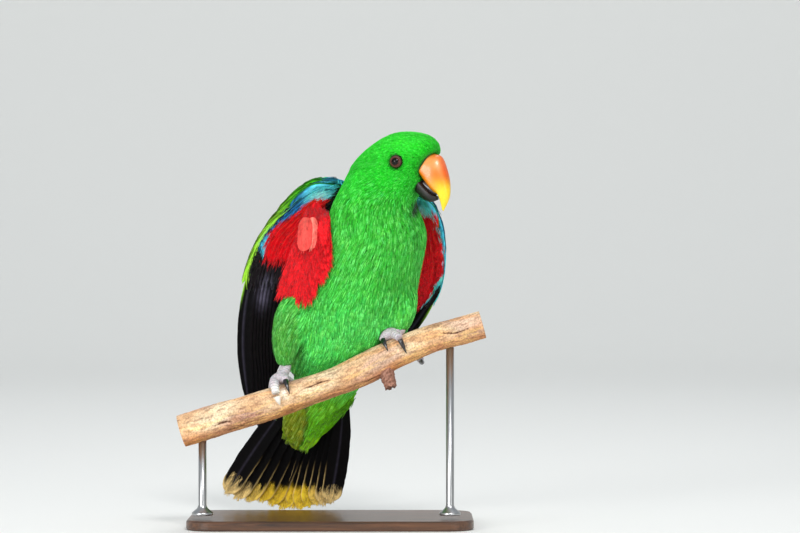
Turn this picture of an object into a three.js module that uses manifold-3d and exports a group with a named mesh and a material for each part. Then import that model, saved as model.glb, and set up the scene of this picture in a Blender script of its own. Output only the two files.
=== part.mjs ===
// A life-size male eclectus parrot, perched on a short cut length of branch over a plain display stand.
// Millimetres, +Z up, +X to the viewer's right, and the bird faces -Y, towards the viewer.
// The origin is the middle of the stand's underside.
import * as THREE from "three";
import { mergeVertices } from "three/addons/utils/BufferGeometryUtils.js";
import Module from "manifold-3d";

const wasm = await Module();
wasm.setup();

// Clearances and thicknesses
const GAP = 0.3;
const VANE_THICK = 0.62;
const FINEST_EDGE = 0.08;
const DEG = Math.PI / 180;

// The stand: a flat wooden base and two short rods up to the branch
const BASE = { width: 230, depth: 112, thick: 8, corner: 20, bevel: 1.4 };
const SPECIMEN_SHIFT = new THREE.Vector3(8, -34, 3);
const ROD = { radius: 3.2, footRadius: 8.5, footThick: 2.4, footTaper: 6, sides: 16 };
const ROD_X = [-110, 88];

// The branch, from its left cut end to its right one, with its thickness along the way
const PERCH_LINE = [
  [-127, 0, 75.5],
  [-100, 0, 83.8],
  [-66, 0, 94],
  [-37, 0, 103.6],
  [-15, 0, 111],
  [6, 0, 119],
  [37, 0, 134],
  [56, 0, 142.5],
  [75, 0, 150],
  [96, 0, 155.5],
  [114, 0, 160.5],
];
const PERCH_RADII = [13, 12.8, 12.6, 12.4, 11.8, 11.4, 12.6, 11.8, 11.3, 11.1, 11];
const STUB = { from: [35, -2, 128], to: [41, -8, 111], radii: [7.4, 5.6] };

// The body's level sections, from the tail root up into the head: middle, half breadth, half depth and facing
const TRUNK = [
  { at: [-34, 81, 55], half: [6, 2.5], facing: 12 },
  { at: [-30.5, 73, 71], half: [17.5, 8], facing: 12 },
  { at: [-22, 62, 90], half: [26, 14.5], facing: 14 },
  { at: [-10.5, 49, 112], half: [29.5, 22], facing: 17 },
  { at: [2.5, 37, 132], half: [41, 31], facing: 20 },
  { at: [10, 27, 153], half: [45, 38], facing: 20 },
  { at: [14, 18, 180], half: [47, 44], facing: 20 },
  { at: [22, 12, 209], half: [44.5, 43], facing: 20 },
  { at: [29, 10, 233], half: [42, 39], facing: 24 },
  { at: [27.5, 9, 254], half: [37, 34], facing: 38 },
  { at: [30, 7, 270], half: [32, 30], facing: 50 },
  { at: [33.3, 5, 288], half: [25, 25], facing: 60 },
];
const NECK_CUTS = { low: 236, high: 258 };

// The head: its centre, the way the bill points, and its half sizes
const HEAD = {
  at: [42.4, 2, 285.2],
  facing: 65,
  middle: 10,
  brow: 33,
  cheek: 20,
  back: 49.5,
  backTaper: 19,
  side: 24.5,
  up: 31,
  down: 28,
};
const EYE = { forward: 13, up: 5, out: 20.7, radius: 5.4, lidRadius: 5.2, lidThick: 1.1, lidOut: 3.2 };

// The bill in the head's own plane, each as forward and up from the head's centre
const UPPER_BILL = {
  culmen: [[35.5, 12], [42.6, 9.2], [46.8, 0.2], [49.6, -11], [49.4, -23], [44.4, -34]],
  tomium: [[25.5, -4.8], [31.6, -13.2], [36.4, -18.6], [40.2, -21], [42.2, -26.4], [43.4, -33.2]],
  half: [9.8, 9.6, 8.4, 6.8, 4.2, 0.9],
};
const LOWER_BILL = {
  rim: [[24, -7.6], [30.5, -15], [35.2, -20], [39, -22.2]],
  keel: [[21, -19], [27.6, -24.4], [33.4, -26.6], [39.2, -25.2]],
  half: [7.6, 7.2, 5.8, 2.6],
};

// Each leg: the feathered shank's line and thickness, and where its foot grips along the branch
const LEGS = {
  right: {
    shank: [[-8, 20, 200], [-22, 16, 184], [-36.5, 8, 165], [-44, 5, 144], [-43.5, 6, 127]],
    half: [6, 14, 18, 12.5, 7],
    gripX: -43,
  },
  left: {
    shank: [[34, 24, 210], [42, 13, 194], [49, 5, 179], [50, 0, 167], [48, -1, 156]],
    half: [8, 17, 16, 12, 6.5],
    gripX: 46,
  },
};
// Toes by where they leave the foot along the branch, how far round it they reach in degrees, and their thickness
const TOES = {
  right: [
    { name: "inner_front", along: 2.6, spread: 1.8, reach: 20, radius: 3.2 },
    { name: "outer_front", along: -4, spread: -1.6, reach: 64, radius: 3.7 },
    { name: "inner_back", along: 4, spread: 7, reach: -100, radius: 2.9 },
    { name: "outer_back", along: -5, spread: -8, reach: -108, radius: 3.1 },
  ],
  left: [
    { name: "inner_front", along: -4.6, spread: -1.4, reach: 14, radius: 3 },
    { name: "outer_front", along: 1.8, spread: 4.4, reach: 46, radius: 3.5 },
    { name: "inner_back", along: -4, spread: -6, reach: -100, radius: 2.9 },
    { name: "outer_back", along: 5, spread: 10, reach: -150, radius: 3.1 },
  ],
};
// How thick each toe is at its joints, as shares of its own thickness, and how far it stands off the bark
const TOE_JOINTS = [1.12, 0.96, 1.04, 0.9, 0.86];
const TOE_CLEAR = 0.55;
// The foot's padded ball, half along the branch, half across it and half its height, and the bare shank above
const BALL = { clear: 4.9, half: [7.6, 6, 4.8] };
const TARSUS_RADII = [4.6, 4, 3.5];
// A claw starts this many degrees past its toe, bends on round the branch and thins to its tip
const CLAW = { radius: 2.2, start: 11, bend: 46, clear: 1.1, taper: [1, 0.8, 0.48, 0.17] };

// Each wing is a sheet that starts at its leading edge and runs inwards over the back
const WINGS = {
  right: {
    dorsal: -1,
    edge: [
      [-3, 8, 275],
      [-22, 13, 272],
      [-44.5, 21, 255],
      [-65, 34, 231],
      [-77, 48, 204],
      [-84, 62, 173],
      [-86, 76, 140],
      [-83, 90, 106],
      [-77, 102, 70],
    ],
    across: [
      [0.6, 0.62, -0.5],
      [0.72, 0.5, -0.45],
      [0.88, 0.36, -0.3],
      [0.93, 0.24, -0.25],
      [0.95, 0.15, -0.25],
      [0.97, 0.1, -0.2],
      [0.98, 0.08, -0.18],
      [0.98, 0.1, -0.15],
      [0.98, 0.1, -0.12],
    ],
    shoulder: [[20, 24, 234], [2, 36, 240], [-16, 35, 246]],
  },
  left: {
    dorsal: 1,
    edge: [
      [60, 26.6, 268],
      [73, 25, 257],
      [81, 29, 237],
      [83.5, 36, 210],
      [79, 47, 186],
      [65, 62, 161],
      [40, 79, 133],
      [10, 97, 104],
      [-12, 110, 78],
    ],
    across: [
      [-0.6, 0.6, -0.5],
      [-0.7, 0.55, -0.4],
      [-0.82, 0.46, -0.28],
      [-0.87, 0.42, -0.22],
      [-0.89, 0.38, -0.2],
      [-0.91, 0.34, -0.2],
      [-0.93, 0.3, -0.2],
      [-0.95, 0.25, -0.18],
      [-0.96, 0.2, -0.15],
    ],
    shoulder: [[42, 25, 235], [52, 37, 239], [63, 39, 239]],
  },
};
const AXILLARIES = {
  count: 8,
  roots: [[-23, 9, 250], [-13.5, 3, 249]],
  tips: [[-50, 10, 179], [-4, -24, 206]],
  facing: [-0.4, -0.9, 0.1],
  clear: 3.4,
  half: 6.8,
  twist: 9,
  loose: { root: [-24, 0, 248], tip: [-28.5, -6, 218], clear: 7, half: 7.6 },
  padAt: [-18, 8, 247],
  padHalf: [9, 5.8, 9],
};

const WING_WIDTH = 70;
const WING_CAMBER = 5;
const SHOULDER_RADII = [17, 14, 9];
const ARM_PAD = { from: -0.01, to: 0.36, halfWidth: 34, halfThick: 6, taper: 0.12 };
const FLIGHT = { primaries: 8, secondaries: 6, step: 4.7, half: 8.6, twist: 11, rise: 0.14 };

// The tail: a fan of flat feathers from its root, leaning back and to the viewer's left. Lengths and fan angles
// are those of the feathers nearest the viewer's left and right.
const TAIL = {
  root: [-12, 70, 104],
  axis: [-0.305, 0.36, -0.88],
  upper: [0.1, 0.9, 0.42],
  lengths: [120, 98],
  fan: [15.5, 13],
  feathers: 12,
  half: 9.4,
  step: 0.98,
  rootSpread: [21, 14],
  pad: { half: [23.5, 22, 10], along: 6, aside: -2.5 },
};

const vec = (p) => new THREE.Vector3(p[0], p[1], p[2]);
const mix = (a, b, t) => a + (b - a) * t;
const curveOf = (points) => new THREE.CatmullRomCurve3(points.map(vec), false, "catmullrom", 0.5);
const valueCurve = (values) => curveOf(values.map((v) => [v, 0, 0]));
const facingVectors = (degrees) => ({
  front: new THREE.Vector3(Math.sin(degrees * DEG), -Math.cos(degrees * DEG), 0),
  left: new THREE.Vector3(Math.cos(degrees * DEG), Math.sin(degrees * DEG), 0),
  up: new THREE.Vector3(0, 0, 1),
});

// Joins a geometry's doubled corners, so that it closes up.
function welded(geometry) {
  geometry.deleteAttribute("normal");
  geometry.deleteAttribute("uv");
  return mergeVertices(geometry, 1e-4);
}

// Turns a closed geometry into a solid whose faces point out.
function solid(merged) {
  const vertProperties = merged.attributes.position.array;
  const triVerts = new Uint32Array(merged.index.array);
  let made = new wasm.Manifold(new wasm.Mesh({ numProp: 3, vertProperties, triVerts }));
  if (made.volume() < 0) {
    for (let i = 0; i < triVerts.length; i += 3)
      [triVerts[i + 1], triVerts[i + 2]] = [triVerts[i + 2], triVerts[i + 1]];
    made = new wasm.Manifold(new wasm.Mesh({ numProp: 3, vertProperties, triVerts }));
  }
  return made;
}

// Keeps the largest closed surface of a solid.
function largest(made) {
  const pieces = made.decompose();
  return pieces.reduce((best, piece) => (piece.volume() > best.volume() ? piece : best));
}

function joined(pieces) {
  return pieces.reduce((all, piece) => all.add(piece));
}

function geometryOf(made) {
  const mesh = made.getMesh();
  const positions = new Float32Array(mesh.numVert * 3);
  for (let i = 0; i < mesh.numVert; i++) {
    const from = i * mesh.numProp;
    positions.set(mesh.vertProperties.subarray(from, from + 3), i * 3);
  }
  const geometry = new THREE.BufferGeometry();
  geometry.setAttribute("position", new THREE.BufferAttribute(positions, 3));
  geometry.setIndex(new THREE.BufferAttribute(mesh.triVerts, 1));
  geometry.computeVertexNormals();
  return geometry;
}

// Whether a solid still closes up once its corners that touch are joined.
function closesUp(made) {
  const { index } = welded(geometryOf(made));
  const edges = new Set();
  for (let i = 0; i < index.count; i += 3) {
    const corners = [index.getX(i), index.getX(i + 1), index.getX(i + 2)];
    if (new Set(corners).size < 3) continue;
    corners.forEach((from, k) => edges.add(from + " " + corners[(k + 1) % 3]));
    if (edges.size % 3) return false;
  }
  return [...edges].every((edge) => edges.has(edge.split(" ").reverse().join(" ")));
}

// Drops the slivers that cuts leave, keeping the largest body.
function tidied(made) {
  let tidy = largest(made);
  for (let finest = FINEST_EDGE; finest < 4 * FINEST_EDGE; finest *= 1.25) {
    tidy = largest(made.asOriginal().simplify(finest));
    if (closesUp(tidy)) break;
  }
  return tidy;
}

// A capped cylinder whose skin is moved to place(t, angle, r), with t from 0 to 1 along it.
function lofted(around, along, place) {
  const geometry = welded(new THREE.CylinderGeometry(1, 1, 1, around, along));
  const position = geometry.attributes.position;
  for (let i = 0; i < position.count; i++) {
    const x = position.getX(i);
    const z = position.getZ(i);
    const p = place(position.getY(i) + 0.5, Math.atan2(x, z), Math.min(1, Math.hypot(x, z)));
    position.setXYZ(i, p.x, p.y, p.z);
  }
  return solid(geometry);
}

// A unit sphere whose skin is moved to place(x, y, z).
function moulded(around, along, place) {
  const geometry = welded(new THREE.SphereGeometry(1, around, along));
  const position = geometry.attributes.position;
  for (let i = 0; i < position.count; i++) {
    const p = place(position.getX(i), position.getY(i), position.getZ(i));
    position.setXYZ(i, p.x, p.y, p.z);
  }
  return solid(geometry);
}

// A round tube along a curve, with a radius for each part of the way.
function tube(points, radii, sides, steps, extra = 0) {
  const line = curveOf(points);
  const size = valueCurve(radii);
  const ways = line.computeFrenetFrames(steps);
  return lofted(sides, steps, (t, angle, r) => {
    const i = Math.round(t * steps);
    const radius = (size.getPoint(t).x + extra) * r;
    return line
      .getPointAt(t)
      .addScaledVector(ways.tangents[i], extra * (2 * t - 1))
      .addScaledVector(ways.normals[i], radius * Math.cos(angle))
      .addScaledVector(ways.binormals[i], radius * Math.sin(angle));
  });
}

// How wide a feather is from its quill to its tip, as a share of its full half width
const FLIGHT_OUTLINE = [
  [0, 0.36],
  [0.2, 0.76],
  [0.46, 0.97],
  [0.78, 0.98],
  [0.94, 0.64],
  [1, 0.16],
];
const COVERT_OUTLINE = [
  [0, 0.5],
  [0.3, 0.9],
  [0.65, 1],
  [0.9, 0.66],
  [1, 0.18],
];

const TAIL_OUTLINE = [
  [0, 0.3],
  [0.2, 0.76],
  [0.5, 1],
  [0.88, 0.98],
  [0.97, 0.76],
  [1, 0.4],
];

// One feather as a thin flat plate. place(t) gives its midline point, its sideways direction and its face.
function vane(place, half, outline, webs = [1, 1], thick = VANE_THICK) {
  const corners = [];
  for (const [t, share] of outline) {
    const { at, side, up } = place(t);
    const face = up.clone().multiplyScalar(thick / 2);
    const edges = [-half * share * webs[0], half * share * webs[1]];
    for (const [edge, sign] of [[0, 1], [1, 1], [1, -1], [0, -1]])
      corners.push(at.clone().addScaledVector(side, edges[edge]).addScaledVector(face, sign));
  }
  const faces = [[0, 1, 2], [0, 2, 3]];
  for (let i = 0; i + 1 < outline.length; i++) {
    const a = 4 * i;
    const b = a + 4;
    faces.push([a, b, b + 1], [a, b + 1, a + 1]);
    faces.push([a + 3, b + 2, b + 3], [a + 3, a + 2, b + 2]);
    faces.push([a + 1, b + 1, b + 2], [a + 1, b + 2, a + 2]);
    faces.push([a + 3, b + 3, b], [a + 3, b, a]);
  }
  const end = 4 * (outline.length - 1);
  faces.push([end, end + 2, end + 1], [end, end + 3, end + 2]);
  const geometry = new THREE.BufferGeometry().setFromPoints(corners);
  geometry.setIndex(faces.flat());
  return solid(geometry);
}

// The whole trunk, from the tail root to the inside of the head, fattened by extra all round.
const trunkLine = curveOf(TRUNK.map((s) => s.at));
const trunkSize = curveOf(TRUNK.map((s) => [s.half[0], s.half[1], s.facing]));

function trunk(extra = 0) {
  return lofted(28, 22, (t, angle, r) => {
    const size = trunkSize.getPoint(t);
    const { front, left } = facingVectors(size.z);
    return trunkLine
      .getPoint(t)
      .addScaledVector(left, (size.x + extra) * r * Math.cos(angle))
      .addScaledVector(front, (size.y + extra) * r * Math.sin(angle))
      .add(vec([0, 0, extra * (2 * t - 1)]));
  });
}

const headWays = facingVectors(HEAD.facing);
const inHead = (forward, out, up) =>
  vec(HEAD.at)
    .addScaledVector(headWays.front, forward)
    .addScaledVector(headWays.left, out)
    .addScaledVector(headWays.up, up);

function headBall(extra = 0) {
  return moulded(24, 16, (x, y, z) => {
    // The forehead is square and stands out over the bill, the face below it drops back, and the nape slopes
    const power = 2 + 2 * Math.max(0, x) * Math.max(0, y);
    const square = (Math.abs(x) ** power + Math.abs(y) ** power + Math.abs(z) ** power) ** (-1 / power);
    const front = mix(HEAD.cheek, HEAD.brow, THREE.MathUtils.smoothstep(y * square, 0, 0.5));
    const back = HEAD.back - HEAD.backTaper * Math.max(0, y * square);
    const forward = x * square * ((x > 0 ? front : back) + extra);
    const up = y * square * ((y > 0 ? HEAD.up : HEAD.down) + extra);
    return inHead(HEAD.middle + forward, -z * square * (HEAD.side + extra), up);
  });
}

function lid(sign) {
  const ring = welded(new THREE.TorusGeometry(EYE.lidRadius, EYE.lidThick, 6, 16));
  const outward = headWays.left.clone().multiplyScalar(sign).addScaledVector(headWays.front, 0.12).normalize();
  const turn = new THREE.Quaternion().setFromUnitVectors(vec([0, 0, 1]), outward);
  ring.applyQuaternion(turn);
  const at = eyeCentre(sign).addScaledVector(outward, EYE.lidOut);
  ring.translate(at.x, at.y, at.z);
  return solid(ring);
}

const eyeCentre = (sign) => inHead(EYE.forward, sign * EYE.out, EYE.up);

function eyeBall(sign, extra = 0) {
  const at = eyeCentre(sign);
  return moulded(12, 9, (x, y, z) => vec([x, y, z]).multiplyScalar(EYE.radius + extra).add(at));
}

// A horny sheath between two lines in the head's plane. fullness(angle) says how far across from the low
// line to the high one each part of its skin lies.
function sheath({ high, low, half, sides, steps, fullness }, extra) {
  const flat = (line) => curveOf(line.map((p) => [p[0], p[1], 0]));
  const top = flat(high);
  const bottom = flat(low);
  const middle = (t) => top.getPoint(t).add(bottom.getPoint(t)).multiplyScalar(0.5);
  const size = valueCurve(half);
  return lofted(sides, steps, (t, angle, r) => {
    const a = bottom.getPoint(t);
    const b = top.getPoint(t);
    const across = b.clone().sub(a).normalize();
    const onward = middle(Math.min(1, t + 0.02)).sub(middle(Math.max(0, t - 0.02))).normalize();
    const p = a.lerp(b, mix(0.5, fullness(angle), r));
    p.addScaledVector(across, extra * r * Math.sin(angle));
    p.addScaledVector(onward, extra * (2 * t - 1));
    return inHead(p.x, (size.getPoint(t).x + extra) * r * Math.cos(angle), p.y);
  });
}

// The upper bill swings round from the culmen's start to the hooked tip.
function upperBill(extra = 0) {
  const fullness = (angle) => (Math.sin(angle) > 0 ? 0.22 + 0.78 * Math.sin(angle) : 0.22 * (1 + Math.sin(angle)));
  const { culmen, tomium, half } = UPPER_BILL;
  return sheath({ high: culmen, low: tomium, half, sides: 14, steps: 12, fullness }, extra);
}

// The lower bill is a short scoop, closed up behind the hook.
function lowerBill(extra = 0) {
  const fullness = (angle) => (Math.sin(angle) > 0 ? 0.8 + 0.2 * Math.sin(angle) : 0.8 * (1 + Math.sin(angle)));
  const { rim, keel, half } = LOWER_BILL;
  return sheath({ high: rim, low: keel, half, sides: 12, steps: 7, fullness }, extra);
}

const perchLine = curveOf(PERCH_LINE);
const perchRadii = valueCurve(PERCH_RADII);

function perch(extra = 0) {
  const branch = tube(PERCH_LINE, PERCH_RADII, 18, 22, extra);
  return branch.add(tube([STUB.from, STUB.to], STUB.radii, 9, 3, extra));
}

// The branch's centre, direction, thickness and top side at a given X
function perchAt(x) {
  let low = 0;
  let high = 1;
  for (let i = 0; i < 30; i++) {
    const middle = (low + high) / 2;
    if (perchLine.getPointAt(middle).x < x) low = middle;
    else high = middle;
  }
  const along = perchLine.getTangentAt(low);
  const top = new THREE.Vector3(-along.z, 0, along.x);
  return { centre: perchLine.getPointAt(low), along, top, radius: perchRadii.getPoint(low).x };
}

// A point over the branch's bark: degrees are 0 on top and grow towards the viewer
function overPerch(grip, along, degrees, clear) {
  const here = perchAt(grip.centre.x + along * grip.along.x);
  const reach = here.radius + clear;
  return here.centre
    .clone()
    .addScaledVector(here.top, reach * Math.cos(degrees * DEG))
    .add(vec([0, -reach * Math.sin(degrees * DEG), 0]))
    .toArray();
}

function toePoints(grip, toe) {
  return [0, 0.25, 0.5, 0.75, 1].map((t) =>
    overPerch(grip, toe.along + toe.spread * t, toe.reach * t, toe.radius + TOE_CLEAR),
  );
}

// The foot with its toes, fattened by extra all round
function foot(leg, toes, extra = 0) {
  const grip = perchAt(leg.gripX);
  const fingers = toes.map((toe) => {
    const radii = TOE_JOINTS.map((k) => k * toe.radius);
    return tube(toePoints(grip, toe), radii, 7, 7, extra);
  });
  const ball = overPerch(grip, 0, 0, BALL.clear);
  const [along, across, high] = BALL.half.map((half) => half + extra);
  const pad = moulded(10, 8, (x, y, z) =>
    vec(ball)
      .addScaledVector(grip.along, along * x)
      .add(vec([0, across * y, 0]))
      .addScaledVector(grip.top, high * z),
  );
  const ankle = leg.shank[leg.shank.length - 1];
  const inside = leg.shank[leg.shank.length - 2];
  const tarsus = tube([ball, ankle, inside], TARSUS_RADII, 8, 5, extra);
  return joined([pad, tarsus, ...fingers]);
}

function shank(leg, extra = 0) {
  return tube(leg.shank, leg.half, 16, 10, extra);
}

// Each claw starts a little past its toe's end and bends in towards the bark.
function claw(leg, toe) {
  const grip = perchAt(leg.gripX);
  const way = Math.sign(toe.reach);
  const points = [0, 0.35, 0.7, 1].map((t) => {
    const degrees = toe.reach + way * (CLAW.start + t * CLAW.bend);
    return overPerch(grip, toe.along + toe.spread * (1 + 0.1 * t), degrees, mix(toe.radius, 1, t) + CLAW.clear);
  });
  const radii = CLAW.taper.map((k) => k * CLAW.radius);
  return tube(points, radii, 8, 6);
}

// A wing's sheet: u runs from the wrist to the wing's tip and d is the distance in from the leading edge.
class WingSheet {
  constructor(wing) {
    this.edge = curveOf(wing.edge);
    this.across = curveOf(wing.across);
    this.dorsal = wing.dorsal;
  }

  at(u, d) {
    const tangent = this.edge.getTangent(Math.min(1, Math.max(0, u)));
    const start = this.edge.getPoint(Math.min(1, Math.max(0, u)));
    const across = this.across.getPoint(Math.min(1, Math.max(0, u))).normalize();
    const face = new THREE.Vector3().crossVectors(tangent, across).multiplyScalar(this.dorsal).normalize();
    const share = Math.min(1.1, Math.max(-0.1, d / WING_WIDTH));
    return start.addScaledVector(across, d).addScaledVector(face, 4 * WING_CAMBER * share * (1 - share));
  }

  // The sheet's own directions at a place: along the wing, in from its edge, and out of its upper side
  frame(u, d) {
    const step = 0.01;
    const along = this.at(Math.min(1, u + step), d).sub(this.at(Math.max(0, u - step), d)).normalize();
    const side = this.at(u, d + 0.5).sub(this.at(u, d - 0.5));
    side.addScaledVector(along, -along.dot(side)).normalize();
    const up = new THREE.Vector3().crossVectors(along, side).multiplyScalar(this.dorsal);
    return { along, side, up };
  }

  // Lays one feather on the sheet, from its quill to its tip, twisted like a slat.
  feather({ u, d, lift, twist, half, outline, webs, thick }) {
    const place = (t) => {
      const uu = mix(u[0], u[1], t);
      const dd = mix(d[0], d[1], t);
      const { side, up } = this.frame(uu, dd);
      const at = this.at(uu, dd).addScaledVector(up, mix(lift[0], lift[1], t));
      const turned = side.clone().multiplyScalar(Math.cos(twist * DEG)).addScaledVector(up, -Math.sin(twist * DEG));
      const face = up.clone().multiplyScalar(Math.cos(twist * DEG)).addScaledVector(side, Math.sin(twist * DEG));
      return { at, side: turned, up: face };
    };
    return vane(place, half, outline, webs, thick);
  }
}

// Where each flight feather's tip comes, outermost primary first, as a share of the wing's length
const FLIGHT_TIPS = [0.92, 0.985, 1, 0.97, 0.93, 0.88, 0.83, 0.79, 0.75, 0.73, 0.71, 0.69, 0.66, 0.62];

function flightFeathers(sheet) {
  return FLIGHT_TIPS.map((tip, k) => {
    const isPrimary = k < FLIGHT.primaries;
    const inward = isPrimary ? k / FLIGHT.primaries : (k - FLIGHT.primaries) / FLIGHT.secondaries;
    const root = isPrimary ? mix(0.3, 0.17, inward) : mix(0.17, 0.27, inward);
    const out = 4 + FLIGHT.step * k;
    const squeeze = mix(1, 0.72, Math.max(0, (tip - 0.7) / 0.3));
    return sheet.feather({
      u: [root, tip],
      d: [2 + out * 0.9, out * squeeze],
      lift: [-1 + k * 0.1, k * FLIGHT.rise],
      twist: FLIGHT.twist,
      half: FLIGHT.half,
      outline: FLIGHT_OUTLINE,
      webs: isPrimary ? [0.72, 1.05] : [0.9, 1.05],
    });
  });
}

// The covert tiers, each as its count, the stretch of the wing it covers and its lift off the flight feathers
const COVERT_TIERS = [
  { count: 6, u: [0.2, 0.5], d: [8, 62], lift: [1.5, 5], half: 8.2, twist: 8 },
  { count: 5, u: [0.09, 0.36], d: [7, 56], lift: [3, 8], half: 9, twist: 8 },
  { count: 4, u: [0.0, 0.22], d: [6, 44], lift: [4, 9.6], half: 9, twist: 8 },
  { count: 5, u: [0.2, 0.46], d: [8, 58], lift: [-1.5, -4.6], half: 9, twist: -8 },
  { count: 5, u: [0.08, 0.34], d: [7, 54], lift: [-3, -7.4], half: 9, twist: -8 },
];

function coverts(sheet) {
  return COVERT_TIERS.flatMap((tier) =>
    Array.from({ length: tier.count }, (_, i) => {
      const share = i / (tier.count - 1);
      const d = mix(tier.d[0], tier.d[1], share);
      const shift = -0.03 * share;
      return sheet.feather({
        u: [tier.u[0] + shift * 0.4, tier.u[1] + shift],
        d: [d, d + 1],
        lift: tier.lift,
        twist: tier.twist,
        half: tier.half,
        outline: COVERT_OUTLINE,
        webs: [1, 1],
      });
    }),
  );
}

// The arm and hand under the coverts, as one smooth pad on the sheet
function armPad(sheet) {
  const { from, to, halfWidth, halfThick, taper } = ARM_PAD;
  return moulded(16, 10, (x, y, z) => {
    const u = Math.max(0, mix(from, to, (y + 1) / 2));
    const d = halfWidth * (0.94 + x * (1 - taper * y));
    const { up } = sheet.frame(u, d);
    return sheet.at(u, d).addScaledVector(up, halfThick * z);
  });
}

// Where a point lands if it must keep clear of the trunk by this much
function outsideTrunk(p, clear) {
  let low = 0;
  let high = 1;
  for (let i = 0; i < 24; i++) {
    const middle = (low + high) / 2;
    if (trunkLine.getPoint(middle).z < p.z) low = middle;
    else high = middle;
  }
  const centre = trunkLine.getPoint(low);
  const size = trunkSize.getPoint(low);
  const { front, left } = facingVectors(size.z);
  const away = p.clone().sub(centre).setZ(0);
  const ratio = Math.hypot(away.dot(left) / (size.x + clear), away.dot(front) / (size.y + clear));
  const out = centre.clone().addScaledVector(away, 1 / Math.min(1, ratio));
  return out.setZ(p.z);
}

// The long red feathers of the armpit, fanning down over the flank
function axillaries(extra = 0) {
  const one = ({ root, tip, clear, half, twist }) => {
    const place = (t) => {
      const here = outsideTrunk(root.clone().lerp(tip, t), clear);
      const next = outsideTrunk(root.clone().lerp(tip, t + 0.02), clear);
      const along = next.sub(here).normalize();
      const side = new THREE.Vector3().crossVectors(along, vec(AXILLARIES.facing)).normalize();
      const face = new THREE.Vector3().crossVectors(side, along).normalize();
      const turned = side.clone().multiplyScalar(Math.cos(twist * DEG)).addScaledVector(face, Math.sin(twist * DEG));
      return { at: here, side: turned, up: new THREE.Vector3().crossVectors(turned, along).normalize() };
    };
    return vane(place, half + extra, COVERT_OUTLINE, [1, 1], VANE_THICK + 2 * extra);
  };
  const count = AXILLARIES.count;
  const fan = Array.from({ length: count }, (_, i) => {
    const share = i / (count - 1);
    return one({
      root: vec(AXILLARIES.roots[0]).lerp(vec(AXILLARIES.roots[1]), share),
      tip: vec(AXILLARIES.tips[0]).lerp(vec(AXILLARIES.tips[1]), share).add(vec([0, 0, -9 * Math.sin(share * Math.PI)])),
      clear: AXILLARIES.clear,
      half: AXILLARIES.half,
      twist: AXILLARIES.twist,
    });
  });
  const loose = AXILLARIES.loose;
  fan.push(one({ root: vec(loose.root), tip: vec(loose.tip), clear: loose.clear, half: loose.half, twist: 0 }));
  const [across, deep, tall] = AXILLARIES.padHalf;
  const pad = moulded(14, 10, (x, y, z) =>
    vec(AXILLARIES.padAt).add(vec([(across + extra) * x, (deep + extra) * z, (tall + extra) * y])),
  );
  return joined([pad, ...fan]);
}

function wing(shape, keepClear) {
  const sheet = new WingSheet(shape);
  const upperArm = tube(shape.shoulder, SHOULDER_RADII, 12, 6);
  const whole = joined([armPad(sheet), upperArm, ...flightFeathers(sheet), ...coverts(sheet)]);
  return keepClear.reduce((left, other) => left.subtract(other), whole);
}

// The tail's fan, with the outer feathers stepping down below the middle pair.
function tail(keepClear) {
  const root = vec(TAIL.root);
  const axis = vec(TAIL.axis).normalize();
  const side = new THREE.Vector3().crossVectors(axis, vec(TAIL.upper)).normalize();
  const upper = new THREE.Vector3().crossVectors(side, axis).normalize();
  // share runs from -1 at the viewer's left to 1 at the right
  const fanVane = ({ share, fan, from, length, half, lift, outline }) => {
    const angle = share * fan[share > 0 ? 1 : 0] * DEG;
    const way = axis.clone().multiplyScalar(Math.cos(angle)).addScaledVector(side, Math.sin(angle));
    const out = new THREE.Vector3().crossVectors(way, upper).normalize();
    const place = (t) => ({
      at: root
        .clone()
        .addScaledVector(side, share * TAIL.rootSpread[share > 0 ? 1 : 0])
        .addScaledVector(way, mix(from, length, t))
        .addScaledVector(upper, mix(lift[0], lift[1], t)),
      side: out,
      up: upper,
    });
    return vane(place, half, outline);
  };
  const rectrices = Array.from({ length: TAIL.feathers }, (_, i) => {
    const share = (2 * i) / (TAIL.feathers - 1) - 1;
    const outer = Math.floor(Math.abs(share) * (TAIL.feathers / 2));
    const drop = -(outer + (share > 0 ? 0.5 : 0)) * TAIL.step;
    return fanVane({
      share,
      fan: TAIL.fan,
      from: -8,
      length: mix(TAIL.lengths[0], TAIL.lengths[1], (share + 1) / 2) - 3 * Math.abs(share) ** 3,
      half: TAIL.half,
      lift: [drop * 0.9, drop],
      outline: TAIL_OUTLINE,
    });
  });
  const upperCoverts = [-0.8, 0.8, 0].map((share, i) =>
    fanVane({
      share,
      fan: [15, 13],
      from: -4,
      length: 44 + i,
      half: 11,
      lift: [2.6 + 0.9 * i, 3.2 + 1.6 * i],
      outline: COVERT_OUTLINE,
    }),
  );
  const [wide, long, thick] = TAIL.pad.half;
  const pad = moulded(18, 12, (x, y, z) =>
    root
      .clone()
      .addScaledVector(axis, TAIL.pad.along + long * y)
      .addScaledVector(side, TAIL.pad.aside + wide * x)
      .addScaledVector(upper, thick * z),
  );
  const whole = joined([pad, ...rectrices, ...upperCoverts]);
  return keepClear.reduce((left, other) => left.subtract(other), whole);
}

function standBase() {
  const { width, depth, thick, corner, bevel } = BASE;
  const shape = new THREE.Shape();
  const x = width / 2 - bevel;
  const y = depth / 2 - bevel;
  shape.absarc(x - corner, y - corner, corner, 0, 90 * DEG);
  shape.absarc(-x + corner, y - corner, corner, 90 * DEG, 180 * DEG);
  shape.absarc(-x + corner, -y + corner, corner, 180 * DEG, 270 * DEG);
  shape.absarc(x - corner, -y + corner, corner, 270 * DEG, 360 * DEG);
  const options = { depth: thick - 2 * bevel, bevelSize: bevel, bevelThickness: bevel, bevelSegments: 1, curveSegments: 6 };
  const plate = new THREE.ExtrudeGeometry(shape, options);
  plate.translate(0, 0, bevel);
  return plate;
}

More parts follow.
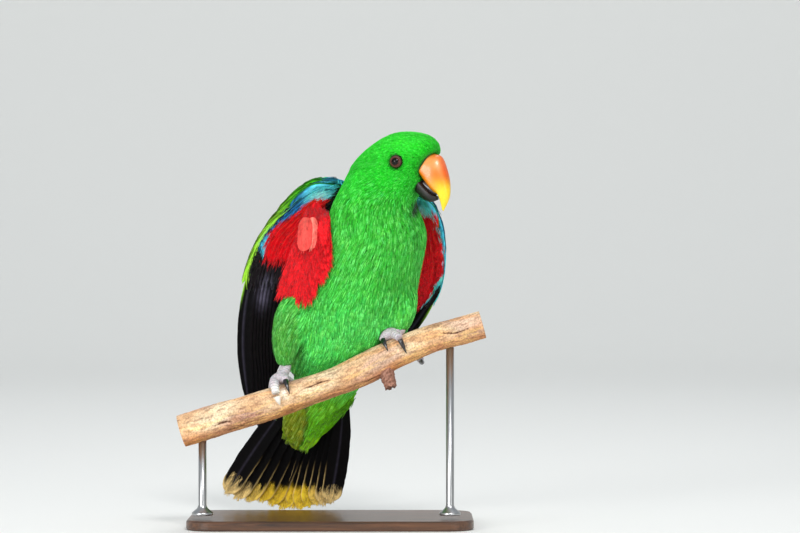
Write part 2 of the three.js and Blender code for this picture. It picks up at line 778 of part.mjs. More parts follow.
function rod(x) {
  const foot = BASE.thick + GAP;
  const top = perchAt(x).centre.z;
  const profile = [
    [0, foot],
    [ROD.footRadius, foot],
    [ROD.footRadius, foot + ROD.footThick],
    [ROD.radius + 0.8, foot + ROD.footTaper],
    [ROD.radius, foot + ROD.footTaper + 2],
    [ROD.radius, top],
    [0, top],
  ].map((p) => new THREE.Vector2(p[0], p[1]));
  const turned = welded(new THREE.LatheGeometry(profile, ROD.sides));
  turned.rotateX(90 * DEG);
  turned.translate(x, 0, 0);
  return solid(turned).subtract(perch(GAP));
}

const finishes = {
  green: { color: 0x2fae2c, roughness: 0.75 },
  wing: { color: 0x2a7d34, roughness: 0.65 },
  red: { color: 0xd81a20, roughness: 0.7 },
  tail: { color: 0x15101a, roughness: 0.6 },
  bill: { color: 0xf59a2b, roughness: 0.35 },
  mandible: { color: 0x1d191b, roughness: 0.4 },
  eye: { color: 0x1a0f0c, roughness: 0.1 },
  foot: { color: 0x8e8784, roughness: 0.7 },
  claw: { color: 0x1b1a1d, roughness: 0.35 },
  bark: { color: 0xb98a62, roughness: 0.85 },
  walnut: { color: 0x4a3020, roughness: 0.45 },
  steel: { color: 0xa9abad, roughness: 0.3, metalness: 1 },
};
const materials = Object.fromEntries(
  Object.entries(finishes).map(([name, look]) => [name, new THREE.MeshStandardMaterial(look)]),
);

const specimen = new THREE.Group();
specimen.position.copy(SPECIMEN_SHIFT);

function add(name, made, finish) {
  const mesh = new THREE.Mesh(geometryOf(tidied(made)), materials[finish]);
  mesh.name = name;
  specimen.add(mesh);
}

const perchRoom = perch(GAP);
const upperBillRoom = upperBill(GAP);
const lowerBillRoom = lowerBill(GAP);
const footRooms = {
  right: foot(LEGS.right, TOES.right, GAP),
  left: foot(LEGS.left, TOES.left, GAP),
};
const headAndTrunk = trunk().add(headBall()).add(lid(1)).add(lid(-1));
const carved = headAndTrunk
  .subtract(footRooms.right)
  .subtract(footRooms.left)
  .subtract(upperBillRoom)
  .subtract(lowerBillRoom)
  .subtract(eyeBall(1, GAP))
  .subtract(eyeBall(-1, GAP))
  .subtract(perchRoom);
const upwards = [0, 0, 1];
const downwards = [0, 0, -1];
add("head", carved.trimByPlane(upwards, NECK_CUTS.high + GAP / 2), "green");
const neckBand = carved.trimByPlane(upwards, NECK_CUTS.low + GAP / 2);
add("neck", neckBand.trimByPlane(downwards, -(NECK_CUTS.high - GAP / 2)), "green");
add("torso", carved.trimByPlane(downwards, -(NECK_CUTS.low - GAP / 2)), "green");
add("bill_upper", upperBill(), "bill");
add("bill_lower", lowerBill().subtract(upperBillRoom), "mandible");
add("eye_right", eyeBall(-1), "eye");
add("eye_left", eyeBall(1), "eye");

const trunkRoom = trunk(GAP).add(headBall(GAP));
const shankRooms = {};
for (const [side, leg] of Object.entries(LEGS)) {
  const toes = TOES[side];
  shankRooms[side] = shank(leg, GAP);
  add("leg_" + side, shank(leg).subtract(trunkRoom).subtract(perchRoom), "green");
  add("foot_" + side, foot(leg, toes).subtract(shankRooms[side]).subtract(perchRoom), "foot");
  for (const toe of toes) add("claw_" + side + "_" + toe.name, claw(leg, toe).subtract(footRooms[side]), "claw");
}
add("axillaries_right", axillaries().subtract(trunkRoom).subtract(shankRooms.right), "red");
const wingKeepsClearOf = [trunkRoom, perchRoom, shankRooms.right, shankRooms.left, axillaries(GAP)];
for (const [side, shape] of Object.entries(WINGS)) add("wing_" + side, wing(shape, wingKeepsClearOf), "wing");
add("tail", tail([trunkRoom, perchRoom]), "tail");
add("perch", perch(), "bark");
add("stand_rod_left", rod(ROD_X[0]), "steel");
add("stand_rod_right", rod(ROD_X[1]), "steel");

const base = new THREE.Mesh(standBase(), materials.walnut);
base.name = "stand_base";

const parrot = new THREE.Group();
parrot.add(specimen, base);

export default parrot;
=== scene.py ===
"""A life-size male eclectus parrot on a cut branch over a display stand, dressed for its portrait.

Sizes are in millimetres in the specimen's own frame until to_row() sets them in the row frame in metres.
"""

import logging
import math
from collections.abc import Callable
from dataclasses import dataclass, field
from enum import Enum

import bpy
import numpy as np
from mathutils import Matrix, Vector
from mathutils.bvhtree import BVHTree


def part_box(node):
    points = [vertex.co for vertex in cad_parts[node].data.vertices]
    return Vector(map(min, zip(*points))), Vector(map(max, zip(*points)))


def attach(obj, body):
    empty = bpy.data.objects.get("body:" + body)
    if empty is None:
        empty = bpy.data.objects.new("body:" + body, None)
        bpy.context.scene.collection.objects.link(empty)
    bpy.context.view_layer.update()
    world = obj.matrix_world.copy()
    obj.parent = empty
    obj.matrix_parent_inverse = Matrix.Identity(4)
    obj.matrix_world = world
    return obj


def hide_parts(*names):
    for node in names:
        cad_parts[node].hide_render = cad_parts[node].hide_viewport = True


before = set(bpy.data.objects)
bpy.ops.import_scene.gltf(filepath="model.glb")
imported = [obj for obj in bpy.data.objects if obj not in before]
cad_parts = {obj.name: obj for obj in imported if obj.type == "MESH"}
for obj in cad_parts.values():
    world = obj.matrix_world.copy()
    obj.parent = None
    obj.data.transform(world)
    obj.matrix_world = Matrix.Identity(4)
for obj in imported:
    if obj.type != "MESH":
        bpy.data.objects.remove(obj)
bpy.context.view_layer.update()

LOG = logging.getLogger("parrot")
SEED = 20240

Array = np.ndarray
norm = np.linalg.norm
Span = tuple[float, float]
# A feather's shaft: its places, the direction across it and the direction out of its upper side
Shaft = tuple[Array, Array, Array]
# A feather's colours, from shares along and across it and whether its upper side is asked for
Paint = Callable[[Array, Array, bool], Array]
Piece = bpy.types.Object
Socket = bpy.types.NodeSocket

# Where the specimen's own frame stands in the row frame
SPECIMEN_SHIFT = np.array([8.0, -34.0, 3.0])
BAKE_MAP = "OFBake"
VANE_MAP = "vane_mm"
MARKING = "marking"
BAKE_PATCH = 0.003
# The left wing's under side lies in the body's shade, so its colours are painted lighter to make up for it
SHADED_WING = 1.35
FULL_TURN = 2 * math.pi
UP = np.array([0.0, 0.0, 1.0])
TO_VIEWER = np.array([0.0, -1.0, 0.0])

# The body's level sections from the undertail to the head: middle, half breadth, half depth and facing
TRUNK = np.array(
    [
        [-34, 81, 55, 6, 2.5, 12],
        [-30.5, 73, 71, 17.5, 8, 12],
        [-22, 62, 90, 26, 14.5, 14],
        [-10.5, 49, 112, 29.5, 22, 17],
        [2.5, 37, 132, 41, 31, 20],
        [10, 27, 153, 45, 38, 20],
        [14, 18, 180, 47, 44, 20],
        [22, 12, 209, 44.5, 43, 20],
        [29, 10, 233, 42, 39, 24],
        [27.5, 9, 254, 37, 34, 38],
        [30, 7, 270, 32, 30, 50],
        [33.3, 5, 288, 25, 25, 60],
    ],
    float,
)
HEAD_AT = np.array([42.4, 2.0, 285.2])
HEAD_FACING = 65.0
# The eyes' place in the head, in front of its centre and above it
EYE_FORWARD, EYE_UP = 13.0, 5.0
# The perch's middle line and its radius at even shares along it
PERCH_LINE = np.array(
    [[-127, 0, 75.5], [-100, 0, 83.8], [-66, 0, 94], [-37, 0, 103.6], [-15, 0, 111], [6, 0, 119]]
    + [[37, 0, 134], [56, 0, 142.5], [75, 0, 150], [96, 0, 155.5], [114, 0, 160.5]],
    float,
)
PERCH_RADII = np.array([13, 12.8, 12.6, 12.4, 11.8, 11.4, 12.6, 11.8, 11.3, 11.1, 11])
SHANKS = {
    "right": np.array([[-8, 20, 200], [-22, 16, 184], [-36.5, 8, 165], [-44, 5, 144], [-43.5, 6, 127]], float),
    "left": np.array([[34, 24, 210], [42, 13, 194], [49, 5, 179], [50, 0, 167], [48, -1, 156]], float),
}


def to_row(points: Array) -> Array:
    """Sets the specimen's millimetres in the row frame, in metres."""
    return (np.asarray(points, float) + SPECIMEN_SHIFT) / 1000.0


def to_specimen(points: Array) -> Array:
    """Turns row-frame metres back into the specimen's millimetres."""
    return np.asarray(points, float) * 1000.0 - SPECIMEN_SHIFT


def linear(code: str) -> Array:
    """Turns a six-digit sRGB hex code into linear red, green and blue."""
    srgb = np.array([int(code[i : i + 2], 16) for i in (0, 2, 4)]) / 255.0
    return np.where(srgb <= 0.04045, srgb / 12.92, ((srgb + 0.055) / 1.055) ** 2.4)


class Plume(Enum):
    """The plumage colours, as sRGB hex."""

    CROWN = "19c418"
    CHEEK = "14b518"
    NECK = "27ad22"
    BREAST = "34ae2f"
    BELLY = "46c84c"
    THIGH = "418f25"
    VENT = "7cdc16"
    OLIVE = "8ca512"
    VENT_TIP = "a9d926"
    BACK = "128a20"
    FRINGE = "9fc423"
    RED = "ee0f1c"
    # A painted shade of the red
    RED_SHADE = "a8060f"
    CORAL = "e63c38"
    CORAL_SHAFT = "ff9a86"
    TURQUOISE = "58d6ff"
    # A painted highlight on the turquoise
    CYAN_HIGHLIGHT = "d2f8fc"
    BLUE = "2a7cc4"
    EDGE = "64f034"
    BLACK = "050406"
    SOOT = "1b1519"
    SHEEN = "6e6880"
    LIME = "9fe43c"
    GOLD = "ffd43a"
    BUFF = "f0cf8a"

    def rgb(self) -> Array:
        """Gives the colour in linear light."""
        return linear(self.value)


Colour = Plume | str | Array


def light(colour: Colour) -> Array:
    """Gives a colour's linear rows, whether it comes from the palette, as hex or as rows.

    Args:
        colour: The colour in any of the three forms.

    Returns:
        Its linear values, one row or many.
    """
    if isinstance(colour, Plume):
        return colour.rgb()
    return linear(colour) if isinstance(colour, str) else np.asarray(colour)


def smooth(low: float, high: float, value: Array) -> Array:
    """Rises smoothly from 0 at low to 1 at high."""
    t = np.clip((np.asarray(value, float) - low) / (high - low), 0, 1)
    return t * t * (3 - 2 * t)


def bell(value: Array, width: float) -> Array:
    """Gives 1 at value 0, falling away over about the width."""
    return np.exp(-((value / width) ** 2))


def blend(first: Colour, *layers: tuple[Colour, Array]) -> Array:
    """Lays colours or vectors over a first one, row by row.

    Args:
        first: What lies lowest, one row or many.
        layers: What lies over it, each with its share for each row, from 0 to 1.

    Returns:
        The mixed rows.
    """
    mixed = light(first)
    for colour, share in layers:
        s = np.asarray(share, float)[..., None]
        mixed = mixed * (1 - s) + light(colour) * s
    return mixed


def unit(v: Array) -> Array:
    """Scales vectors to length 1 along the last axis."""
    return v / np.maximum(norm(v, axis=-1, keepdims=True), 1e-9)


def between(ends: Span, share: Array) -> Array:
    """Gives values at shares of the way from one end to the other."""
    return ends[0] + (ends[1] - ends[0]) * share


def angles(count: int) -> Array:
    """Gives angles evenly round a circle."""
    return np.linspace(0, FULL_TURN, count, endpoint=False)


def columns_at(x: Array, known: Array, table: Array) -> Array:
    """Reads every column of a table at places between its known ones."""
    return np.stack([np.interp(x, known, column) for column in table.T], -1)


def ripple(points: Array, scale: float, seed: int) -> Array:
    """A cheap smooth noise, from -1 to 1, made of crossed waves.

    Args:
        points: Places in millimetres.
        scale: The size of its patches in millimetres.
        seed: Which set of waves to use.

    Returns:
        One value for each point.
    """
    rng = np.random.default_rng(seed)
    total = np.zeros(points.shape[:-1])
    for _ in range(6):
        way = unit(rng.normal(size=3)) * rng.uniform(0.6, 1.5) * 2 * math.pi / scale
        total += np.sin(points @ way + rng.uniform(0, 6.28))
    return np.clip(total / 3.2, -1, 1)


class Curve:
    """A smooth curve through rows of numbers, spaced evenly along it."""

    def __init__(self, rows: Array) -> None:
        """Keeps the rows, with one more beyond each end.

        Args:
            rows: The rows of numbers, or one number for each row.
        """
        rows = np.asarray(rows, float)
        if rows.ndim == 1:
            rows = rows[:, None]
        self.count = len(rows)
        self.rows = np.vstack([2 * rows[0] - rows[1], rows, 2 * rows[-1] - rows[-2]])

    def at(self, t: Array) -> Array:
        """Gives the curve's rows at shares of its length.

        Args:
            t: Shares from 0 to 1, of any shape.

        Returns:
            One row for each share.
        """
        p = np.clip(np.asarray(t, float), 0, 1) * (self.count - 1)
        i = np.minimum(p.astype(int), self.count - 2)
        w = (p - i)[..., None]
        a, b, c, d = (self.rows[i + k] for k in range(4))
        ta, tb = (c - a) * 0.5, (d - b) * 0.5
        return (2 * b - 2 * c + ta + tb) * w**3 + (-3 * b + 3 * c - 2 * ta - tb) * w**2 + ta * w + b

    def even(self, steps: int) -> Array:
        """Gives shares whose points part the curve into equal stretches.

        Args:
            steps: How many stretches to make.

        Returns:
            steps + 1 shares from 0 to 1.
        """
        fine = np.linspace(0, 1, 400)
        run = run_along(self.at(fine)[:, :3])
        return np.interp(np.linspace(0, run[-1], steps + 1), run, fine)


def run_along(points: Array) -> Array:
    """Gives how far along a line each of its points lies."""
    return np.concatenate([[0], np.cumsum(norm(np.diff(points, axis=0), axis=1))])


def facing(degrees: Array) -> tuple[Array, Array]:
    """Gives the front and left directions of something turned to the right.

    Args:
        degrees: How far it is turned from facing the viewer.

    Returns:
        The two level directions.
    """
    a = np.radians(degrees)
    zero = np.zeros_like(a)
    return np.stack([np.sin(a), -np.cos(a), zero], -1), np.stack([np.cos(a), np.sin(a), zero], -1)


HEAD_FRONT, HEAD_LEFT = facing(np.array(HEAD_FACING))
TRUNK_FINE = Curve(TRUNK).at(np.linspace(0, 1, 600))


def in_head(forward: Array, out: Array, up: Array) -> Array:
    """Gives places by how far they lie in front of, left of and above the head's centre."""
    f, o, u = (np.asarray(v, float)[..., None] for v in (forward, out, up))
    return HEAD_AT + f * HEAD_FRONT + o * HEAD_LEFT + u * UP


def trunk_at_height(z: Array) -> Array:
    """Gives the trunk's section at each height."""
    return columns_at(np.asarray(z, float), TRUNK_FINE[:, 2], TRUNK_FINE)


def from_trunk(points: Array, clear: float = 0.0) -> tuple[Array, Array, Array]:
    """Measures level places against the trunk's section at their height.

    Args:
        points: Places in millimetres.
        clear: How much wider than the trunk to take the section.

    Returns:
        The section, the level way out from its middle, and that way's length, 1 being on the surface.
    """
    section = trunk_at_height(points[..., 2])
    front, left = facing(section[..., 5])
    away = points - section[..., :3]
    away[..., 2] = 0
    a = np.sum(away * left, -1) / (section[..., 3] + clear)
    b = np.sum(away * front, -1) / (section[..., 4] + clear)
    return section, away, np.hypot(a, b)


def outside_trunk(points: Array, clear: float) -> Array:
    """Moves points level and outwards until they stand this far off the trunk.

    Args:
        points: Places in millimetres.
        clear: The distance to keep.

    Returns:
        The moved points.
    """
    section, away, ratio = from_trunk(points, clear)
    moved = section[..., :3] + away / np.maximum(np.minimum(1.0, ratio)[..., None], 1e-6)
    moved[..., 2] = points[..., 2]
    return moved


def body_marking(points: Array) -> Array:
    """Gives the plumage colour at places on the body, for the skin and its coat alike.

    Args:
        points: Places in the specimen's millimetres.

    Returns:
        One linear colour for each place.
    """
    x, y, z = points[..., 0], points[..., 1], points[..., 2]
    behind = (points - trunk_at_height(z)[..., :3])[..., 1]
    back = smooth(2, 22, behind) * (1 - smooth(240, 285, z)) * smooth(95, 125, z) * 0.8
    # The undertail parts into two lobes, olive on the bird's right and bright green on its left, with painted shade
    # darkening the gap between them
    lobe = x - np.interp(z, [60, 65, 76, 94, 110], [-35, -33.6, -27.5, -24, -22])
    vent = blend(Plume.OLIVE, (Plume.VENT, smooth(-1.5, 1.5, lobe))) * (1 - 0.6 * bell(lobe, 1.6))[..., None]
    right_thigh = (1 - smooth(-36, -26, x)) * smooth(112, 120, z) * (1 - smooth(170, 186, z))
    left_thigh = smooth(38, 48, x) * (1 - smooth(166, 180, z)) * smooth(140, 150, z)
    # The green beside the armpit's red passes through a yellow-green fringe
    edge = np.hypot((x + 12 + 0.3 * (z - 236)) / 6, (z - 236) / 20)
    # Painted shadow: black in the gap where the neck's feathers part from those of the left shoulder
    run = np.clip((261.5 - z) / 10, 0, 1)
    bow = run * (1 - run)
    gap = np.hypot(x - 61.5 + 6 * run + 2 * bow, np.maximum(np.abs(z - 256.5) - 5, 0)) / (1.3 + 6 * bow)
    colour = blend(
        Plume.BELLY,
        (Plume.BREAST, smooth(150, 205, z)),
        (Plume.NECK, smooth(225, 258, z)),
        (Plume.CHEEK, smooth(255, 275, z)),
        (Plume.CROWN, smooth(288, 306, z)),
        (Plume.BACK, back),
        (vent, 1 - smooth(92, 120, z)),
        (Plume.THIGH, right_thigh * 0.8),
        (Plume.THIGH, left_thigh * 0.5),
        (Plume.FRINGE, (1 - smooth(0.5, 1.25, edge)) * (y < 12) * 0.6),
        (Plume.BLACK, bell(gap, 1) * (y < 30) * 0.95),
    )
    return colour * (1 + 0.09 * ripple(points, 21, 3) + 0.06 * ripple(points, 7, 4))[..., None]


def linked(name: str, data: bpy.types.ID) -> Piece:
    """Makes an object of some data and puts it in the scene.

    Args:
        name: Its name.
        data: Its mesh, light or camera.

    Returns:
        The object.
    """
    made = bpy.data.objects.new(name, data)
    bpy.context.scene.collection.objects.link(made)
    return made


def rgba(colour: Colour) -> tuple[float, ...]:
    """Gives a colour its full alpha."""
    return (*light(colour).tolist(), 1.0)


class Surface:
    """A material in the making: one plain surface shader and the nodes that feed it."""

    def __init__(self, name: str, values: dict) -> None:
        """Starts the material.

        Args:
            name: Its name.
            values: The shader's values by name.
        """
        self.material = bpy.data.materials.new(name)
        self.material.use_nodes = True
        self.tree = self.material.node_tree
        self.shader = self.tree.nodes["Principled BSDF"]
        self.feed(self.shader, values)

    def feed(self, node: bpy.types.Node, inputs: dict) -> None:
        """Gives a node what feeds it.

        Args:
            node: The node.
            inputs: A value or an output socket for each input, by name or number.
        """
        for key, value in inputs.items():
            if isinstance(value, Socket):
                self.tree.links.new(value, node.inputs[key])
            else:
                node.inputs[key].default_value = value

    def add(self, kind: str, inputs: dict, output: int | str = 0, **settings: str | bool) -> Socket:
        """Adds a node.

        Args:
            kind: Its type name without the leading ShaderNode.
            inputs: What feeds it.
            output: Which of its outputs is wanted.
            settings: Attributes to set on it.

        Returns:
            The wanted output.
        """
        node = self.tree.nodes.new("ShaderNode" + kind)
        for name, value in settings.items():
            setattr(node, name, value)
        self.feed(node, inputs)
        return node.outputs[output]

    def maths(self, operation: str, *inputs: float | Socket) -> Socket:
        """Adds one sum of numbers."""
        return self.add("Math", dict(enumerate(inputs)), operation=operation)

    def place(self, scale: tuple[float, ...] = (), turn: float = 0.0) -> Socket:
        """Gives the place on the piece, stretched and turned about the depth axis if that is wanted.

        Args:
            scale: How much to squeeze each axis.
            turn: How far to turn it, in degrees.

        Returns:
            The place.
        """
        place = self.add("TexCoord", {}, "Object")
        if not scale:
            return place
        return self.add("Mapping", {"Vector": place, "Rotation": (0.0, math.radians(turn), 0.0), "Scale": scale})

    def noise(self, size_mm: float, place: Socket | None = None, **inputs: float) -> Socket:
        """Adds a noise whose patches have this size."""
        return self.add("TexNoise", {"Vector": place or self.place(), "Scale": 1000 / size_mm, **inputs})

    def spread(self, value: Socket, start: Span, end: Span) -> Socket:
        """Maps one range of a value to another."""
        names = ("From Min", "From Max", "To Min", "To Max")
        return self.add("MapRange", {"Value": value, **dict(zip(names, start + end))})

    def tint(self, level: Socket) -> None:
        """Takes the base colour from the marking, made lighter and darker by a level."""
        marking = self.add("Attribute", {}, attribute_name=MARKING)
        self.feed(self.shader, {"Base Color": self.add("VectorMath", {0: marking, 1: level}, operation="MULTIPLY")})

    def ramp(self, value: Socket, stops: Span, low: Colour, high: Colour) -> None:
        """Takes the base colour from a ramp between two colours.

        Args:
            value: What runs along the ramp.
            stops: Where the two colours stand on it.
            low: The lower one.
            high: The higher one.
        """
        out = self.add("ValToRGB", {"Fac": value})
        for stop, at, colour in zip(out.node.color_ramp.elements, stops, (low, high)):
            stop.position = at
            stop.color = rgba(colour)
        self.feed(self.shader, {"Base Color": out})

    def bump(self, height: Socket, strength: float, distance: float, invert: bool = False) -> None:
        """Raises fine relief, its distance in metres."""
        relief = {"Height": height, "Strength": strength, "Distance": distance}
        self.feed(self.shader, {"Normal": self.add("Bump", relief, invert=invert)})


@dataclass(frozen=True)
class FeatherFinish:
    """Keratin feather: barbs grown side by side, matt with a soft silky sheen and no clear highlight."""

    name: str
    roughness: float = 0.62
    sheen: float = 0.1
    specular: float = 0.16
    barb_mm: float = 0.0
    mottle_mm: float = 2.5
    mottle: float = 0.18

    def make(self) -> bpy.types.Material:
        """Builds the material from the marking colour, with a fine mottle and the barbs' ribs.

        Returns:
            The finished material.
        """
        values = {"Roughness": self.roughness, "Sheen Weight": self.sheen, "Sheen Roughness": 0.4}
        made = Surface(self.name, values | {"Specular IOR Level": self.specular})
        noise = made.noise(self.mottle_mm, Detail=2.0)
        made.tint(made.spread(noise, (0.3, 0.7), (1 - self.mottle, 1 + self.mottle)))
        if self.barb_mm:
            across = made.add("SeparateXYZ", {0: made.add("UVMap", {}, uv_map=VANE_MAP)})
            # Barbs leave the shaft at about forty degrees, so the ribs slant towards the tip on both webs
            slant = made.maths("MULTIPLY_ADD", made.maths("ABSOLUTE", across), -1.2, across.node.outputs["Y"])
            rib = made.maths("MULTIPLY", slant, FULL_TURN / self.barb_mm)
            made.bump(made.maths("SINE", rib), 0.35, 0.00012)
        return made.material


@dataclass(frozen=True)
class HornFinish:
    """Bill and claw horn: polished keratin, smooth and wet-looking over faint growth lines."""

    name: str
    roughness: float
    coat: float
    growth_mm: float
    marked: bool = True
    colour: str = "1b1a1d"

    def make(self) -> bpy.types.Material:
        """Builds the horn with its growth lines and clear gloss.

        Returns:
            The finished material.
        """
        values = {"Roughness": self.roughness, "Coat Weight": self.coat, "Coat Roughness": 0.12, "IOR": 1.54}
        made = Surface(self.name, values)
        noise = made.noise(self.growth_mm, Detail=5.0, Roughness=0.6)
        if self.marked:
            made.tint(made.spread(noise, (0.3, 0.7), (0.93, 1.06)))
            depth = {"Subsurface Weight": 0.12, "Subsurface Radius": (1.0, 0.45, 0.2), "Subsurface Scale": 0.002}
            made.feed(made.shader, depth)
        else:
            dark = linear(self.colour)
            made.ramp(noise, (0.35, 0.75), dark * 0.6, dark * 1.9)
        made.bump(noise, 0.25, 0.0002)
        return made.material


@dataclass(frozen=True)
class SkinFinish:
    """Scaled foot skin: dry and dusty grey, with darker creases between the scutes."""

    name: str
    grain_mm: float = 0.7

    def make(self) -> bpy.types.Material:
        """Builds the skin from its marking with a fine pebbled grain.

        Returns:
            The finished material.
        """
        made = Surface(self.name, {"Roughness": 0.6, "Subsurface Weight": 0.08, "Subsurface Scale": 0.001})
        cells = made.add("TexVoronoi", {"Vector": made.place(), "Scale": 1000 / self.grain_mm})
        # Painted light and shade: each pebble is lighter at its middle and darker in the creases at its border
        made.tint(made.spread(cells, (0.0, 0.7), (1.12, 0.75)))
        made.bump(cells, 0.5, 0.0003, invert=True)
        return made.material


@dataclass(frozen=True)
class EyeFinish:
    """A live eye: wet cornea with a mirror-sharp gloss over the iris's own colours."""

    name: str

    def make(self) -> bpy.types.Material:
        """Builds the eye from its marking under a clear coat.

        Returns:
            The finished material.
        """
        values = {"Roughness": 0.25, "Specular IOR Level": 0.1, "Coat Weight": 0.45}
        made = Surface(self.name, values | {"Coat Roughness": 0.02, "Coat IOR": 1.38})
        made.feed(made.shader, {"Base Color": made.add("Attribute", {}, attribute_name=MARKING)})
        return made.material


@dataclass(frozen=True)
class BarkFinish:
    """Dry eucalyptus bark, weathered and worn: tan and peach skin with darker specks, cracks and rusty undersides."""

    name: str
    speck_mm: float = 1.4
    streak_mm: float = 9.0

    def make(self) -> bpy.types.Material:
        """Builds the bark, streaked along the branch and finely specked.

        Returns:
            The finished material.
        """
        made = Surface(self.name, {"Roughness": 0.82, "Specular IOR Level": 0.3})
        streaks = made.noise(self.streak_mm, made.place((0.22, 1.0, 1.0), 20), Detail=8.0, Roughness=0.68)
        specks = made.noise(self.speck_mm, Detail=3.0, Roughness=0.6)
        broad = made.spread(streaks, (0.3, 0.7), (0.66, 1.22))
        made.tint(made.maths("MULTIPLY", broad, made.spread(specks, (0.34, 0.6), (0.62, 1.12))))
        made.bump(made.maths("MULTIPLY_ADD", streaks, 2.0, specks), 0.7, 0.0006)
        return made.material


@dataclass(frozen=True)
class EndGrainFinish:
    """A sawn branch end: dry, pale growth rings, dull all over."""

    name: str

    def make(self) -> bpy.types.Material:
        """Builds the growth rings round the pith.

        Returns:
            The finished material.
        """
        made = Surface(self.name, {"Roughness": 0.8})
        pattern = {"Vector": made.add("UVMap", {}, uv_map=VANE_MAP), "Scale": 0.28}
        pattern |= {"Distortion": 2.2, "Detail": 3.0, "Detail Scale": 0.6}
        rings = made.add("TexWave", pattern, "Fac", wave_type="RINGS", rings_direction="SPHERICAL")
        made.ramp(rings, (0.0, 1.0), "c39a66", "e6cda0")
        return made.material


@dataclass(frozen=True)
class WoodFinish:
    """Walnut, planed and satin-varnished: long dark grain under a thin clear coat."""

    name: str = "walnut_satin"
    grain_mm: float = 3.2

    def make(self) -> bpy.types.Material:
        """Builds the grain along the board.

        Returns:
            The finished material.
        """
        made = Surface(self.name, {"Roughness": 0.42, "Coat Weight": 0.35, "Coat Roughness": 0.2})
        place = made.place((0.06, 1.0, 1.0))
        grain = made.noise(self.grain_mm, place, Detail=7.0, Roughness=0.62, Distortion=0.5)
        made.ramp(grain, (0.3, 0.72), "2c1a10", "6d4529")
        made.bump(grain, 0.15, 0.0002)
        return made.material


@dataclass(frozen=True)
class SteelFinish:
    """Stainless steel rod, turned and brushed round: soft streaked reflections."""

    name: str = "stainless_brushed"
    brush_mm: float = 0.5

    def make(self) -> bpy.types.Material:
        """Builds the brushed metal.

        Returns:
            The finished material.
        """
        made = Surface(self.name, {"Base Color": rgba("b9babb"), "Metallic": 1.0})
        brush = made.noise(self.brush_mm, made.place((0.1, 0.1, 1.0)), Detail=3.0)
        made.feed(made.shader, {"Roughness": made.spread(brush, (0.0, 1.0), (0.24, 0.42))})
        return made.material


def table(rows: list) -> Array:
    """Gives a dataclass a field that holds an array of its own."""
    return field(default_factory=lambda: np.array(rows, float))


def capped(values: Array) -> Array:
    """Repeats a form's first and last values for the middles of its two ends."""
    return np.vstack([values, values[:1], values[-1:]])


def read_rows(items: bpy.types.bpy_prop_collection, name: str, kind: type) -> Array:
    """Reads a property of three numbers from every item of a mesh.

    Args:
        items: The mesh's vertices or triangles.
        name: The property.
        kind: Its number type.

    Returns:
        One row for each item.
    """
    values = np.zeros(len(items) * 3, kind)
    items.foreach_get(name, values)
    return values.reshape(-1, 3)


def mesh_arrays(mesh: bpy.types.Mesh) -> tuple[Array, Array]:
    """Gives a mesh's corners and its triangles of corner numbers."""
    mesh.calc_loop_triangles()
    return read_rows(mesh.vertices, "co", np.float32), read_rows(mesh.loop_triangles, "vertices", np.int32)


def paint_mesh(mesh: bpy.types.Mesh, colours: Array) -> None:
    """Gives a mesh its marking, one linear colour for each corner."""
    full = np.column_stack([np.clip(colours, 0, 1), np.ones(len(colours))]).astype(np.float32)
    mesh.color_attributes.new(MARKING, "FLOAT_COLOR", "POINT").data.foreach_set("color", full.ravel())


